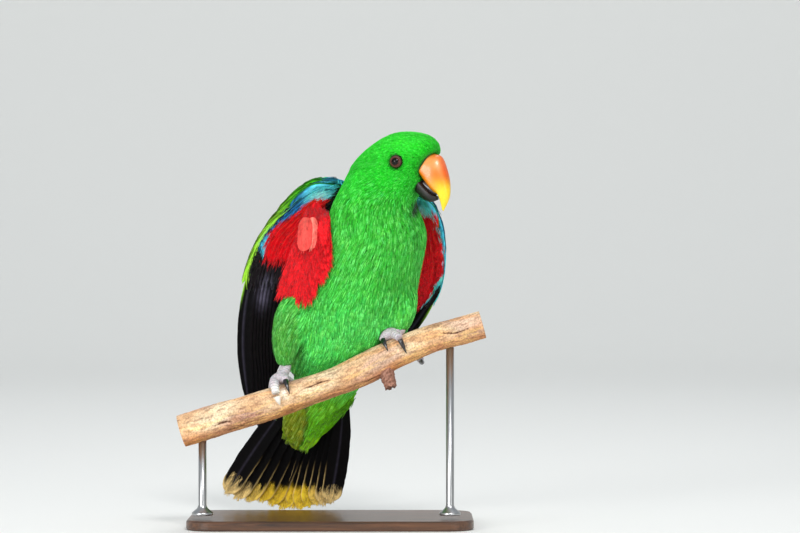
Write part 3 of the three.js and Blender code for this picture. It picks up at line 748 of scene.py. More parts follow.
@dataclass
class MeshStock:
    """Corners, triangles, colours and maps gathered for one piece."""

    corners: list[Array] = field(default_factory=list)
    faces: list[Array] = field(default_factory=list)
    colours: list[Array] = field(default_factory=list)
    bake: list[Array] = field(default_factory=list)
    vane: list[Array] = field(default_factory=list)
    total: int = 0

    def add(
        self, corners: Array, faces: Array, colours: Array, bake: Array | None = None, vane: Array | None = None
    ) -> None:
        """Adds one closed form.

        Args:
            corners: Its corners in the specimen's millimetres.
            faces: Triangles of corner numbers, from 0.
            colours: A linear colour for each corner.
            bake: The bake map's place for each corner.
            vane: The pattern map's place for each corner, in millimetres.
        """
        n = len(corners)
        self.corners.append(corners)
        self.faces.append(faces + self.total)
        self.colours.append(np.broadcast_to(colours, (n, 3)))
        self.bake.append(np.zeros((n, 2)) if bake is None else bake)
        self.vane.append(np.zeros((n, 2)) if vane is None else vane)
        self.total += n

    def add_rings(self, rings: Array, colours: Array, flip: bool = False, bake: Array | None = None) -> None:
        """Adds a closed form made of rings.

        Args:
            rings: Corners by row and place round the ring.
            colours: One linear colour, or one for each of the rings' corners.
            flip: Whether the rings run the other way round.
            bake: The bake map's place for each of the rings' corners.
        """
        faces = ring_faces(*rings.shape[:2])
        if np.ndim(colours) > 1:
            colours = capped(colours.reshape(-1, 3))
        self.add(
            closed_rings(rings), faces[:, ::-1] if flip else faces, colours, None if bake is None else capped(bake)
        )

    def make(
        self, name: str, material: bpy.types.Material, bake: bool = True, vane: bool = False, smoothed: bool = True
    ) -> Piece:
        """Turns what was gathered into one object on the specimen's body.

        Args:
            name: The piece's name.
            material: Its finish.
            bake: Whether it has the bake map.
            vane: Whether it has the pattern map.
            smoothed: Whether its shading runs on over its edges.

        Returns:
            The new object, riding on the root body.
        """
        corners = to_row(np.concatenate(self.corners)).astype(np.float32)
        faces = np.concatenate(self.faces).astype(np.int32)
        mesh = bpy.data.meshes.new(name)
        mesh.vertices.add(len(corners))
        mesh.vertices.foreach_set("co", corners.ravel())
        mesh.loops.add(faces.size)
        mesh.loops.foreach_set("vertex_index", faces.ravel())
        mesh.polygons.add(len(faces))
        mesh.polygons.foreach_set("loop_start", np.arange(0, faces.size, 3, dtype=np.int32))
        mesh.polygons.foreach_set("use_smooth", np.full(len(faces), smoothed))
        mesh.update(calc_edges=True)
        paint_mesh(mesh, np.concatenate(self.colours))
        for wanted, map_name, parts in ((bake, BAKE_MAP, self.bake), (vane, VANE_MAP, self.vane)):
            if wanted:
                layer = mesh.uv_layers.new(name=map_name)
                layer.data.foreach_set("uv", np.concatenate(parts)[faces.ravel()].astype(np.float32).ravel())
        mesh.materials.append(material)
        piece = linked(name, mesh)
        LOG.info("%s: %d triangles", name, len(faces))
        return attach(piece, "root")


def ring_faces(rows: int, around: int) -> Array:
    """Joins rows of rings into triangles, with a fan over each end.

    Args:
        rows: How many rings there are.
        around: How many corners each ring has.

    Returns:
        The triangles. The corners after the rings are the two ends' middles.
    """
    i, j = np.meshgrid(np.arange(rows - 1), np.arange(around), indexing="ij")
    a = (i * around + j).ravel()
    b = (i * around + (j + 1) % around).ravel()
    sides = np.concatenate([np.stack([a, b, b + around], 1), np.stack([a, b + around, a + around], 1)])
    k = np.arange(around)
    nxt = (k + 1) % around
    first = np.stack([nxt, k, np.full(around, rows * around)], 1)
    top = (rows - 1) * around
    last = np.stack([top + k, top + nxt, np.full(around, rows * around + 1)], 1)
    return np.concatenate([sides, first, last])


def closed_rings(rings: Array) -> Array:
    """Puts the middles of the two end rings after the rings' corners, as ring_faces wants them."""
    return np.vstack([rings.reshape(-1, 3), rings[0].mean(0), rings[-1].mean(0)])


def ball_grid(rows: int, around: int, gap: float) -> tuple[Array, ...]:
    """Lays rings over a ball of radius 1.

    Args:
        rows: How many rings there are.
        around: How many corners each ring has.
        gap: How far from each pole the rings start, in radians.

    Returns:
        The angles from pole to pole and round, then the places along the poles' axis and along the other two.
    """
    v = np.linspace(gap, math.pi - gap, rows)[:, None]
    a = angles(around)[None, :]
    return v, a, -np.cos(v) + 0 * a, np.sin(v) * np.cos(a), np.sin(v) * np.sin(a)


def tube_rings(points: Array, radii: Array, steps: int, around: int) -> tuple[Array, Array, Array]:
    """Rings of a round tube along a smooth line, turning as little as they can.

    Args:
        points: The line's places.
        radii: The tube's radius at even shares along it.
        steps: How many stretches to make.
        around: How many corners each ring has.

    Returns:
        The rings, the middle line, and each ring corner's outward direction.
    """
    line = Curve(points)
    share = line.even(steps)
    middle = line.at(share)
    along = unit(np.gradient(middle, axis=0))
    size = Curve(radii).at(np.linspace(0, 1, steps + 1))[:, 0]
    normal = unit(np.cross(along[0], [0.3, 1.0, 0.2]))
    rings, outs = [], []
    angle = angles(around)
    for k in range(steps + 1):
        normal = unit(normal - along[k] * (normal @ along[k]))
        other = np.cross(along[k], normal)
        out = np.cos(angle)[:, None] * normal + np.sin(angle)[:, None] * other
        outs.append(out)
        rings.append(middle[k] + size[k] * out)
    return np.array(rings), middle, np.array(outs)


@dataclass
class VaneShape:
    """How one kind of feather is cut: its outline, its thickness and how finely it is made."""

    outline: Array
    rows: int = 18
    columns: int = 7
    thick: float = 0.34
    camber: float = 0.1
    split: float = 0.12
    webs: Span = (1.0, 1.0)

    def faces(self) -> Array:
        """Gives the closed vane's triangles: upper side, under side and rim.

        Returns:
            The triangles, for corners in the order rows, columns, upper then under.
        """
        n = self.columns
        i, j = np.meshgrid(np.arange(self.rows - 1), np.arange(n - 1), indexing="ij")
        a = ((i * n + j) * 2).ravel()
        right, onward = 2, 2 * n
        upper = np.concatenate(
            [np.stack([a, a + right, a + right + onward], 1), np.stack([a, a + right + onward, a + onward], 1)]
        )
        under = upper[:, ::-1] + 1
        border = [(0, k) for k in range(n)] + [(r, n - 1) for r in range(1, self.rows)]
        border += [(self.rows - 1, k) for k in range(n - 2, -1, -1)] + [(r, 0) for r in range(self.rows - 2, 0, -1)]
        ids = np.array([(r * n + c) * 2 for r, c in border])
        nxt = np.roll(ids, -1)
        rim = np.concatenate([np.stack([ids, ids + 1, nxt + 1], 1), np.stack([ids, nxt + 1, nxt], 1)])
        return np.concatenate([upper, under, rim])

    def corners(self, line: Shaft, half: float, rng: np.random.Generator) -> tuple[Array, Array, Array]:
        """Lays the vane along its shaft.

        Args:
            line: The shaft.
            half: Its greatest half width.
            rng: Draws its split edges.

        Returns:
            The corners, each one's shares along and across the vane, and its distances in millimetres.
        """
        at, side, up = line
        t = np.linspace(0, 1, self.rows)
        width = np.interp(t, self.outline[:, 0], self.outline[:, 1]) * half
        c = np.linspace(-1, 1, self.columns)
        reach = np.where(c[None, :] < 0, self.webs[0], self.webs[1]) * c[None, :] * width[:, None]
        # Split barbs leave small notches along both edges, deepest near the tip
        notch = rng.uniform(0, self.split, (self.rows, 2)) * (0.3 + 0.7 * t[:, None])
        reach[:, 0] *= 1 - notch[:, 0]
        reach[:, -1] *= 1 - notch[:, 1]
        lift = -self.camber * half * (c[None, :] ** 2) * (width[:, None] / max(half, 1e-6))
        # The shaft stands a little proud and the web thins towards its edges
        thick = self.thick * (0.35 + 0.65 * (1 - np.abs(c[None, :])) ** 2) * (1 - 0.5 * t[:, None])
        middle = at[:, None, :] + reach[..., None] * side[:, None, :] + lift[..., None] * up[:, None, :]
        offset = (thick / 2)[..., None] * up[:, None, :]
        both = np.stack([middle + offset, middle - offset], 2)
        tt = np.broadcast_to(t[:, None, None], both.shape[:3])
        cc = np.broadcast_to(c[None, :, None], both.shape[:3])
        mm = np.stack([np.broadcast_to(reach[..., None], both.shape[:3]), tt * norm(at[-1] - at[0])], -1)
        return both.reshape(-1, 3), np.stack([tt.ravel(), cc.ravel()], 1), mm.reshape(-1, 2)


FLIGHT_CUT = np.array(
    [[0, 0.16], [0.1, 0.4], [0.25, 0.8], [0.5, 0.98], [0.8, 0.98], [0.92, 0.78], [0.98, 0.45], [1, 0.12]]
)
COVERT_CUT = np.array([[0, 0.3], [0.2, 0.75], [0.5, 1.0], [0.78, 0.96], [0.92, 0.7], [1, 0.2]])
TAIL_CUT = np.array([[0, 0.2], [0.12, 0.55], [0.35, 0.86], [0.7, 1.0], [0.93, 0.94], [0.98, 0.7], [1, 0.42]])


def strip_form(root: Array, middle: Array, tip: Array, side: Array, up: Array, half: Array) -> tuple[Array, Array]:
    """Makes many thin closed barbs at once, each a tapered three-sided sliver bent at its middle.

    Args:
        root: Where each barb leaves the surface.
        middle: Its middle.
        tip: Its tip.
        side: The direction across it.
        up: The direction away from the surface.
        half: Its half width.

    Returns:
        The corners, seven for each barb, and the triangles, ten for each.
    """
    h = half[:, None]
    corners = np.stack(
        [
            root - side * h * 0.6,
            root + side * h * 0.6,
            root + up * h * 0.3,
            middle - side * h,
            middle + side * h,
            middle + up * h * 0.35,
            tip,
        ],
        1,
    )
    one = np.array(
        [[0, 1, 2], [0, 3, 4], [0, 4, 1], [1, 4, 5], [1, 5, 2], [0, 2, 5], [0, 5, 3], [3, 6, 4], [4, 6, 5], [3, 5, 6]]
    )
    faces = (np.arange(len(root)) * 7)[:, None, None] + one[None]
    return corners.reshape(-1, 3), faces.reshape(-1, 3)


# How light each corner of a barb is, from its shaded root to its bright tip
BARB_LIGHT = np.array([0.66, 0.66, 0.72, 0.95, 0.95, 1.0, 1.1])
# Each barb's patch on the bake map
BARB_PATCH = np.array([[-0.3, 0], [0.3, 0], [0, 0.1], [-0.5, 0.5], [0.5, 0.5], [0, 0.5], [0, 1]]) * BAKE_PATCH


def barb_looks(colours: Array, spots: Array) -> tuple[Array, Array]:
    """Gives every corner of many barbs its colour and bake place, from one of each for a barb."""
    shaded = colours[:, None, :] * BARB_LIGHT[None, :, None]
    return shaded.reshape(-1, 3), (spots[:, None, :] + BARB_PATCH[None]).reshape(-1, 2)


def thin_out(points: Array, spacing: Array) -> Array:
    """Keeps points that stand at least their own spacing apart.

    Args:
        points: Candidate places, in the order they are tried.
        spacing: The least distance for each.

    Returns:
        The numbers of the kept points.
    """
    cell = float(spacing.max())
    grid: dict[tuple[int, int, int], list[int]] = {}
    cells = np.floor(points / cell).astype(int)
    kept = []
    near = [(a, b, c) for a in (-1, 0, 1) for b in (-1, 0, 1) for c in (-1, 0, 1)]
    rows = points.tolist()
    keys = cells.tolist()
    gaps = (spacing**2).tolist()
    for n, (p, key, gap) in enumerate(zip(rows, keys, gaps)):
        clear = True
        for a, b, c in near:
            for m in grid.get((key[0] + a, key[1] + b, key[2] + c), ()):
                q = rows[m]
                if (p[0] - q[0]) ** 2 + (p[1] - q[1]) ** 2 + (p[2] - q[2]) ** 2 < gap:
                    clear = False
                    break
            if not clear:
                break
        if clear:
            grid.setdefault(tuple(key), []).append(n)
            kept.append(n)
    return np.array(kept)


@dataclass
class BodySkin:
    """The bird's own skin: one smooth surface just inside the solids of the trunk, head and legs."""

    nodes: tuple[str, ...] = ("torso", "neck", "head", "leg_right", "leg_left")
    voxel: float = 1.7
    coat_depth: float = 1.7
    smoothing: int = 14
    shade: float = 0.55
    # The upper arms, and the fold of skin between the right thigh and the belly
    folds: tuple = (
        (((20, 24, 234), (2, 36, 240), (-16, 35, 246)), (17.0, 14.0, 9.0)),
        (((42, 25, 235), (52, 37, 239), (63, 39, 239)), (17.0, 14.0, 9.0)),
        (((-31, 28, 152), (-36, 26, 136), (-37.5, 29, 120)), (9.0, 6.5, 5.0)),
    )

    def build(self) -> Piece:
        """Joins copies of the solids, closes their cuts and draws the surface in by the coat's depth.

        Returns:
            The skin, replacing its solids.
        """
        forms = [mesh_arrays(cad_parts[name].data) for name in self.nodes]
        for line, radii in self.folds:
            rings, _, _ = tube_rings(np.array(line, float), np.array(radii), 16, 24)
            forms.append((to_row(closed_rings(rings)), ring_faces(17, 24)))
        starts = np.cumsum([0] + [len(corners) for corners, _ in forms])
        rough = bpy.data.meshes.new("skin_rough")
        faces = np.concatenate([faces + start for (_, faces), start in zip(forms, starts)])
        rough.from_pydata(np.concatenate([corners for corners, _ in forms]).tolist(), [], faces.tolist())
        worker = linked("skin_rough", rough)
        for name, kind, settings in (
            ("close", "REMESH", {"mode": "VOXEL", "voxel_size": self.voxel / 1000}),
            ("relax", "SMOOTH", {"factor": 0.5, "iterations": self.smoothing}),
            ("inward", "DISPLACE", {"direction": "NORMAL", "mid_level": 0.0, "strength": -self.coat_depth / 1000}),
            ("settle", "SMOOTH", {"factor": 0.5, "iterations": 4}),
        ):
            modifier = worker.modifiers.new(name, kind)
            for key, value in settings.items():
                setattr(modifier, key, value)
        evaluated = worker.evaluated_get(bpy.context.evaluated_depsgraph_get())
        mesh = bpy.data.meshes.new_from_object(evaluated)
        bpy.data.objects.remove(worker)
        mesh.name = "skin"
        mesh.polygons.foreach_set("use_smooth", np.ones(len(mesh.polygons), bool))
        # The skin takes the plumage colours painted darker, as painted shade under the coat
        paint_mesh(mesh, body_marking(to_specimen(read_rows(mesh.vertices, "co", np.float32))) * self.shade)
        mesh.materials.clear()
        mesh.materials.append(
            FeatherFinish("down_green_fluffy", roughness=0.85, sheen=0.3, mottle_mm=1.2, mottle=0.35).make()
        )
        skin = linked("skin", mesh)
        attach(skin, "root")
        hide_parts(*self.nodes)
        LOG.info("skin: %d faces", len(mesh.polygons))
        return skin


@dataclass
class BodyCoat:
    """The small body feathers: fans of thin barbs that follow the lie of the plumage."""

    skin: Piece
    candidates: int = 260000
    barbs: int = 5
    eye_clear: float = 4.8
    # The heights at which the coat's pieces part
    head_from: float = 262
    neck_from: float = 225
    breast_from: float = 170

    def __post_init__(self) -> None:
        """Reads the skin once, as triangles and as a surface to land points on."""
        corners, self.tri = mesh_arrays(self.skin.data)
        self.co = to_specimen(corners)
        self.normal = read_rows(self.skin.data.vertices, "normal", np.float32).astype(float)
        self.tree = BVHTree.FromPolygons(self.co.tolist(), self.tri.tolist())
        self.rng = np.random.default_rng(SEED)

    def shank_near(self, p: Array, side: str) -> tuple[Array, Array, Array]:
        """Finds the nearest part of a leg's middle line.

        Args:
            p: Places in millimetres.
            side: Which leg.

        Returns:
            The line's points, the number of the nearest one for each place, and its distance.
        """
        fine = Curve(SHANKS[side]).at(np.linspace(0, 1, 40))
        gap = norm(p[:, None, :] - fine[None], axis=2)
        return fine, gap.argmin(1), gap.min(1)

    def leg_share(self, p: Array) -> tuple[Array, Array]:
        """Tells how much each place belongs to a leg, and which way the leg runs there.

        Args:
            p: Places in millimetres.

        Returns:
            A share from 0 to 1, and the way down the leg.
        """
        share = np.zeros(len(p))
        way = np.zeros_like(p)
        outside = smooth(0.93, 1.08, from_trunk(p)[2])
        for side in SHANKS:
            fine, nearest, gap = self.shank_near(p, side)
            tangent = unit(np.gradient(fine, axis=0))[nearest]
            mine = outside * (1 - smooth(21, 27, gap)) * (p[:, 2] < 205)
            better = mine > share
            share = np.where(better, mine, share)
            way = np.where(better[:, None], tangent, way)
        return share, way

    def lie(self, p: Array, n: Array) -> Array:
        """Gives the way the feathers lie at each place.

        Args:
            p: Places in millimetres.
            n: The skin's outward direction there.

        Returns:
            Directions along the skin.
        """
        bill = in_head(33.0, 0.0, 4.0)
        head = unit(p - bill) + np.array([0, 0, -0.32]) + smooth(292, 312, p[:, 2])[:, None] * (-HEAD_FRONT * 0.8)
        section = trunk_at_height(p[:, 2])
        ahead = trunk_at_height(p[:, 2] - 6)
        body = unit((ahead - section)[:, :3])
        _, left = facing(section[:, 5])
        spread = np.sum((p - section[:, :3]) * left, -1) / np.maximum(section[:, 3], 5)
        body = body + left * (0.24 * spread * smooth(120, 230, p[:, 2]))[:, None]
        way = blend(body, (head, smooth(248, 272, p[:, 2])))
        share, leg = self.leg_share(p)
        way = blend(way, (leg, share))
        # A slight wander keeps the coat from looking combed
        wander = np.stack([ripple(p, 26, seed) for seed in (11, 12, 13)], 1)
        way = way + 0.13 * wander
        return unit(way - n * np.sum(way * n, -1, keepdims=True))

    def from_eyes(self, p: Array, out: float) -> Array:
        """Gives each place's distance from the nearer eye, taken this far out from the head's middle."""
        eyes = (in_head(EYE_FORWARD, side * out, EYE_UP) for side in (-1, 1))
        return np.minimum(*(norm(p - eye, axis=1) for eye in eyes))

    def sizes(self, p: Array) -> tuple[Array, Array, Array]:
        """Gives the feathers' spacing, length and barb half width at each place.

        Args:
            p: Places in millimetres.

        Returns:
            The three sizes in millimetres.
        """
        from_bill = norm(p - in_head(34.0, 0.0, -4.0), axis=1)
        from_eye = self.from_eyes(p, 23.0)
        face = np.minimum(smooth(14, 46, from_bill), smooth(5, 15, from_eye))
        head = smooth(250, 272, p[:, 2])
        spacing = 1.75 - 0.5 * head - 0.25 * head * (1 - face)
        length = 9.4 - 3.9 * head - 2.3 * head * (1 - face)
        width = 0.33 - 0.06 * head - 0.06 * head * (1 - face)
        vent = 1 - smooth(84, 112, p[:, 2])
        length = length + 5.0 * vent
        spacing = spacing + 0.2 * vent
        width = width + 0.06 * vent
        share, _ = self.leg_share(p)
        low = share * (1 - smooth(128, 146, p[:, 2]))
        length = length - 3.4 * low
        spacing = spacing - 0.35 * low
        return spacing, length, width

    def roots(self) -> tuple[Array, Array]:
        """Spreads roots over the skin, closer where the feathers are smaller.

        Returns:
            Places and outward directions.
        """
        a, b, c = (self.co[self.tri[:, k]] for k in range(3))
        area = norm(np.cross(b - a, c - a), axis=1)
        density = area / self.sizes((a + b + c) / 3)[0] ** 2
        pick = self.rng.choice(len(area), self.candidates, p=density / density.sum())
        r1, r2 = np.sqrt(self.rng.random(self.candidates)), self.rng.random(self.candidates)
        w = np.stack([1 - r1, r1 * (1 - r2), r1 * r2], 1)
        p = np.einsum("nk,nkd->nd", w, self.co[self.tri[pick]])
        n = unit(np.einsum("nk,nkd->nd", w, self.normal[self.tri[pick]]))
        clear = self.from_eyes(p, 22.5) > self.eye_clear
        # None grow inside the bill's seat or where the legs end in bare skin
        forward = (p - HEAD_AT) @ HEAD_FRONT
        sideways = np.abs((p - HEAD_AT) @ HEAD_LEFT)
        rise = p[:, 2] - HEAD_AT[2]
        seat = (forward > 26.5) & (sideways < 8.6) & (rise < 10.5)
        clear &= ~seat
        p, n = p[clear], n[clear]
        kept = thin_out(p, self.sizes(p)[0])
        return p[kept], n[kept]

    def land(self, p: Array) -> tuple[Array, Array]:
        """Finds the nearest places on the skin."""
        found = [self.tree.find_nearest(q) for q in p.tolist()]
        return np.array([f[0][:] for f in found]), np.array([f[1][:] for f in found])

    def bake_place(self, p: Array) -> Array:
        """Unwraps the skin round its own axis, with a strip for each leg.

        Args:
            p: Places in millimetres.

        Returns:
            Map places from 0 to 1.
        """
        section = trunk_at_height(p[:, 2])
        off = p - section[:, :3]
        around = (np.arctan2(off[:, 0], -off[:, 1]) / FULL_TURN + 0.5) * 0.74 + 0.01
        up = (p[:, 2] - 50) / 275
        share, _ = self.leg_share(p)
        for name, low in (("right", 0.77), ("left", 0.885)):
            fine, nearest, gap = self.shank_near(p, name)
            middle = fine[nearest]
            turn = np.arctan2(p[:, 0] - middle[:, 0], -(p[:, 1] - middle[:, 1])) / FULL_TURN + 0.5
            mine = (share > 0.5) & (gap < 27) & ((p[:, 0] < 0) == (name == "right"))
            around = np.where(mine, low + 0.1 * turn, around)
        return np.stack([around, np.clip(up, 0.01, 0.99)], 1)

    def build(self) -> None:
        """Grows the whole coat and parts it into pieces."""
        p, n = self.roots()
        way = self.lie(p, n)
        _, length, width = self.sizes(p)
        # A few longer feathers stray over the rest, painted paler as painted highlight
        stray = (self.rng.random(len(p)) < 0.09) & (p[:, 2] < 245)
        length = length * self.rng.uniform(0.82, 1.18, len(p)) * np.where(stray, 1.5, 1.0)
        middle, n_mid = self.land(p + way * length[:, None] * 0.5)
        tip, n_tip = self.land(p + way * length[:, None])
        lift = 0.12 * length + 0.25
        ruffle = self.rng.uniform(0.86, 1.12, len(p)) * np.where(stray, 0.95, 1.0)
        middle = middle + n_mid * (lift * 0.86 * ruffle)[:, None]
        tip = tip + n_tip * (lift * ruffle)[:, None]
        side = unit(np.cross(way, n))
        colour = body_marking(p)
        place = self.bake_place(p)
        # Each feather is lighter or darker than its neighbours as a whole, and so is each barb
        feather_tone = self.rng.uniform(0.84, 1.16, len(p)) * np.where(stray, 1.08, 1.0)
        width = width * np.where(stray, 0.7, 1.0)
        warm = self.rng.normal(0, 0.05, len(p))
        calm = 1 - 0.5 * smooth(262, 285, p[:, 2])
        feather_tone = 1 + (feather_tone - 1) * calm
        z = p[:, 2]
        face = (p - HEAD_AT) @ HEAD_FRONT > 6
        behind = (p - trunk_at_height(z)[:, :3])[:, 1] > 8
        head, rest = z > self.head_from, z <= self.neck_from
        legs = self.leg_share(p)[0] > 0.5
        front = rest & ~legs & ~behind
        parts = {"face": face & head, "crown": ~face & head, "neck": ~head & ~rest, "legs": rest & legs}
        parts |= {"breast": front & (z > self.breast_from), "belly": front & (z <= self.breast_from)}
        parts["back"] = rest & ~legs & behind
        finish = FeatherFinish("contour_feather_silky", roughness=0.55, sheen=0.1, mottle_mm=1.6, mottle=0.14)
        material = finish.make()
        for name, mask in parts.items():
            ids = np.flatnonzero(mask)
            stock = MeshStock()
            for s in np.linspace(-1, 1, self.barbs):
                jitter = self.rng.normal(0, 0.16, (len(ids), 1))
                fan = (s + jitter) * width[ids, None]
                root_k = p[ids] + side[ids] * fan * 1.1 - n[ids] * 0.25
                middle_k = middle[ids] + side[ids] * fan * 2.6
                short = 1 - 0.16 * s * s - np.abs(self.rng.normal(0, 0.06, len(ids)))
                tip_k = middle[ids] + (tip[ids] - middle[ids]) * short[:, None] + side[ids] * fan * 3.3
                tone = feather_tone[ids] * (1 + self.rng.uniform(-0.38, 0.36, len(ids)) * calm[ids])
                form, faces = strip_form(
                    root_k, middle_k, tip_k, side[ids], n[ids], width[ids] * self.rng.uniform(0.8, 1.15, len(ids))
                )
                # Painted highlight: white is added to the brightest barbs, so they look silvery rather than a purer
                # green
                tint = colour[ids] * tone[:, None] + 0.24 * np.clip(tone - 1.04, 0, 0.35)[:, None]
                tint = tint * np.stack([1 + 2.2 * warm[ids], np.ones(len(ids)), 1 - 1.5 * warm[ids]], 1)
                stock.add(form, faces, *barb_looks(tint, place[ids]))
            piece = stock.make("coat_" + name, material, smoothed=False)


@dataclass(frozen=True)
class Strands:
    """The soft strands over one feather: how many, their length, half width and height off it in millimetres."""

    count: int
    length: float
    width: float
    off: float


@dataclass
class VaneTier:
    """A row of like feathers: the stock they go into, and the strands that soften them."""

    stock: MeshStock
    strands: MeshStock
    rng: np.random.Generator
    cell: int = 0
    cells: int = 12

    def in_cell(self, margin: float, flat: Array) -> Array:
        """Sets places from 0 to 1 in the present feather's cell of the bake map."""
        column, row = self.cell % self.cells, (self.cell // self.cells) % self.cells
        return (np.array([column, row]) + margin + flat) / self.cells

    def lay(self, shape: VaneShape, line: Shaft, half: float, paint: Paint) -> None:
        """Adds one feather with its colours and its own cell of the bake map.

        Args:
            shape: How it is cut.
            line: Its shaft.
            half: Its greatest half width.
            paint: Gives its colours.
        """
        corners, shares, mm = shape.corners(line, half, self.rng)
        upper = np.arange(len(corners)) % 2 == 0
        tone = self.rng.uniform(0.9, 1.1)
        above, below = (paint(shares[:, 0], shares[:, 1], face) for face in (True, False))
        colours = np.where(upper[:, None], above, below) * tone
        flat = np.stack([(shares[:, 1] + 1) / 2 * 0.44 + np.where(upper, 0.0, 0.5), shares[:, 0] * 0.92], 1)
        self.stock.add(corners, shape.faces(), colours, self.in_cell(0.03, flat), mm)
        self.cell += 1

    def fringe(self, line: Shaft, half: float, paint: Paint, face: bool, strands: Strands) -> None:
        """Adds soft strands over one side of a feather.

        Args:
            line: The feather's shaft.
            half: Its half width.
            paint: Gives its colours.
            face: Whether the strands lie on the upper side.
            strands: How many there are and how big.
        """
        at, side, up = line
        count, off = strands.count, strands.off
        rows = len(at)
        t = self.rng.uniform(0.05, 0.98, count)
        c = self.rng.uniform(-0.85, 0.85, count)
        run = norm(at[-1] - at[0])
        shift = strands.length / max(run, 1e-6)

        def on(share: Array, values: Array) -> Array:
            """Reads rows at shares along them, going straight on past their end.

            Args:
                share: Where to read, 1 being the last row.
                values: The rows.

            Returns:
                One row for each share.
            """
            k = np.clip(share, 0, 1) * (rows - 1)
            i = np.minimum(k.astype(int), rows - 2)
            w = (share * (rows - 1) - i)[:, None]
            return values[i] * (1 - w) + values[i + 1] * w

        sign = 1.0 if face else -1.0
        taper = np.minimum(1.0, 1.25 - t)
        offset = (c * half * taper)[:, None]
        wander = self.rng.normal(0, 0.5, count)[:, None]

        def place(share: Array, height: float, stray: float) -> Array:
            """Gives a place on every strand.

            Args:
                share: How far along the feather it lies.
                height: How far off the vane.
                stray: How far it strays sideways, from 0 to 1.

            Returns:
                One place for each strand.
            """
            s = unit(on(share, side))
            sideways = s * (offset * (1 + 0.12 * stray) + wander * stray)
            return on(share, at) + sideways + unit(on(share, up)) * (sign * height)

        shift = shift * self.rng.uniform(0.6, 1.15, count)
        root = place(t, off * 0.2, 0.0)
        middle = place(t + shift * 0.5, off, 0.5)
        tip = place(np.minimum(t + shift, 1 + 0.65 * shift), off * 0.8, 1.0)
        s = unit(on(t, side))
        u = unit(on(t, up)) * sign
        form, faces = strip_form(root, middle, tip, s * sign, u, strands.width * self.rng.uniform(0.7, 1.2, count))
        base = paint(t, c, face) * self.rng.uniform(0.78, 1.2, count)[:, None]
        spot = self.in_cell(0.05, np.stack([(c + 1) / 2 * 0.44, np.clip(t, 0, 1) * 0.9], 1))
        self.strands.add(form, faces, *barb_looks(base, spot))


def plain(
    upper: Array, under: Array, edge: Array | None = None, tip: Array | None = None, tip_from: float = 0.85
) -> Paint:
    """Makes a feather paint of two sides, with an outer edge and a tip of their own.

    Args:
        upper: The upper side's colour.
        under: The under side's colour.
        edge: The outer web's edge on both sides.
        tip: The tip's colour.
        tip_from: Where along the feather the tip's colour starts.

    Returns:
        A function of shares along and across and of the side.
    """

    def paint(t: Array, c: Array, face: bool) -> Array:
        """Gives the colour at places on one side.

        Args:
            t: Shares along the feather.
            c: Shares across it, from -1 to 1.
            face: Whether the side is the upper one.

        Returns:
            One linear colour for each place.
        """
        colour = np.broadcast_to(upper if face else under, t.shape + (3,))
        # Painted shade: darker towards the root, where other feathers cover it
        colour = colour * (0.72 + 0.34 * smooth(0.05, 0.6, t))[:, None]
        shaft = 1 - smooth(0.02, 0.09, np.abs(c))
        colour = colour * (1 - 0.25 * shaft)[:, None]
        if edge is not None:
            colour = blend(colour, (edge, 1 - smooth(-0.93, -0.72, c)))
        if tip is not None:
            colour = blend(colour, (tip, smooth(tip_from, tip_from + 0.1, t)))
        return colour

    return paint


# The arm's form under the coverts: shares of the wing's length, then millimetres
ARM_MIDDLE, ARM_REACH, ARM_DEPTH, ARM_THICK = 0.175, 0.185, 34, 5.2


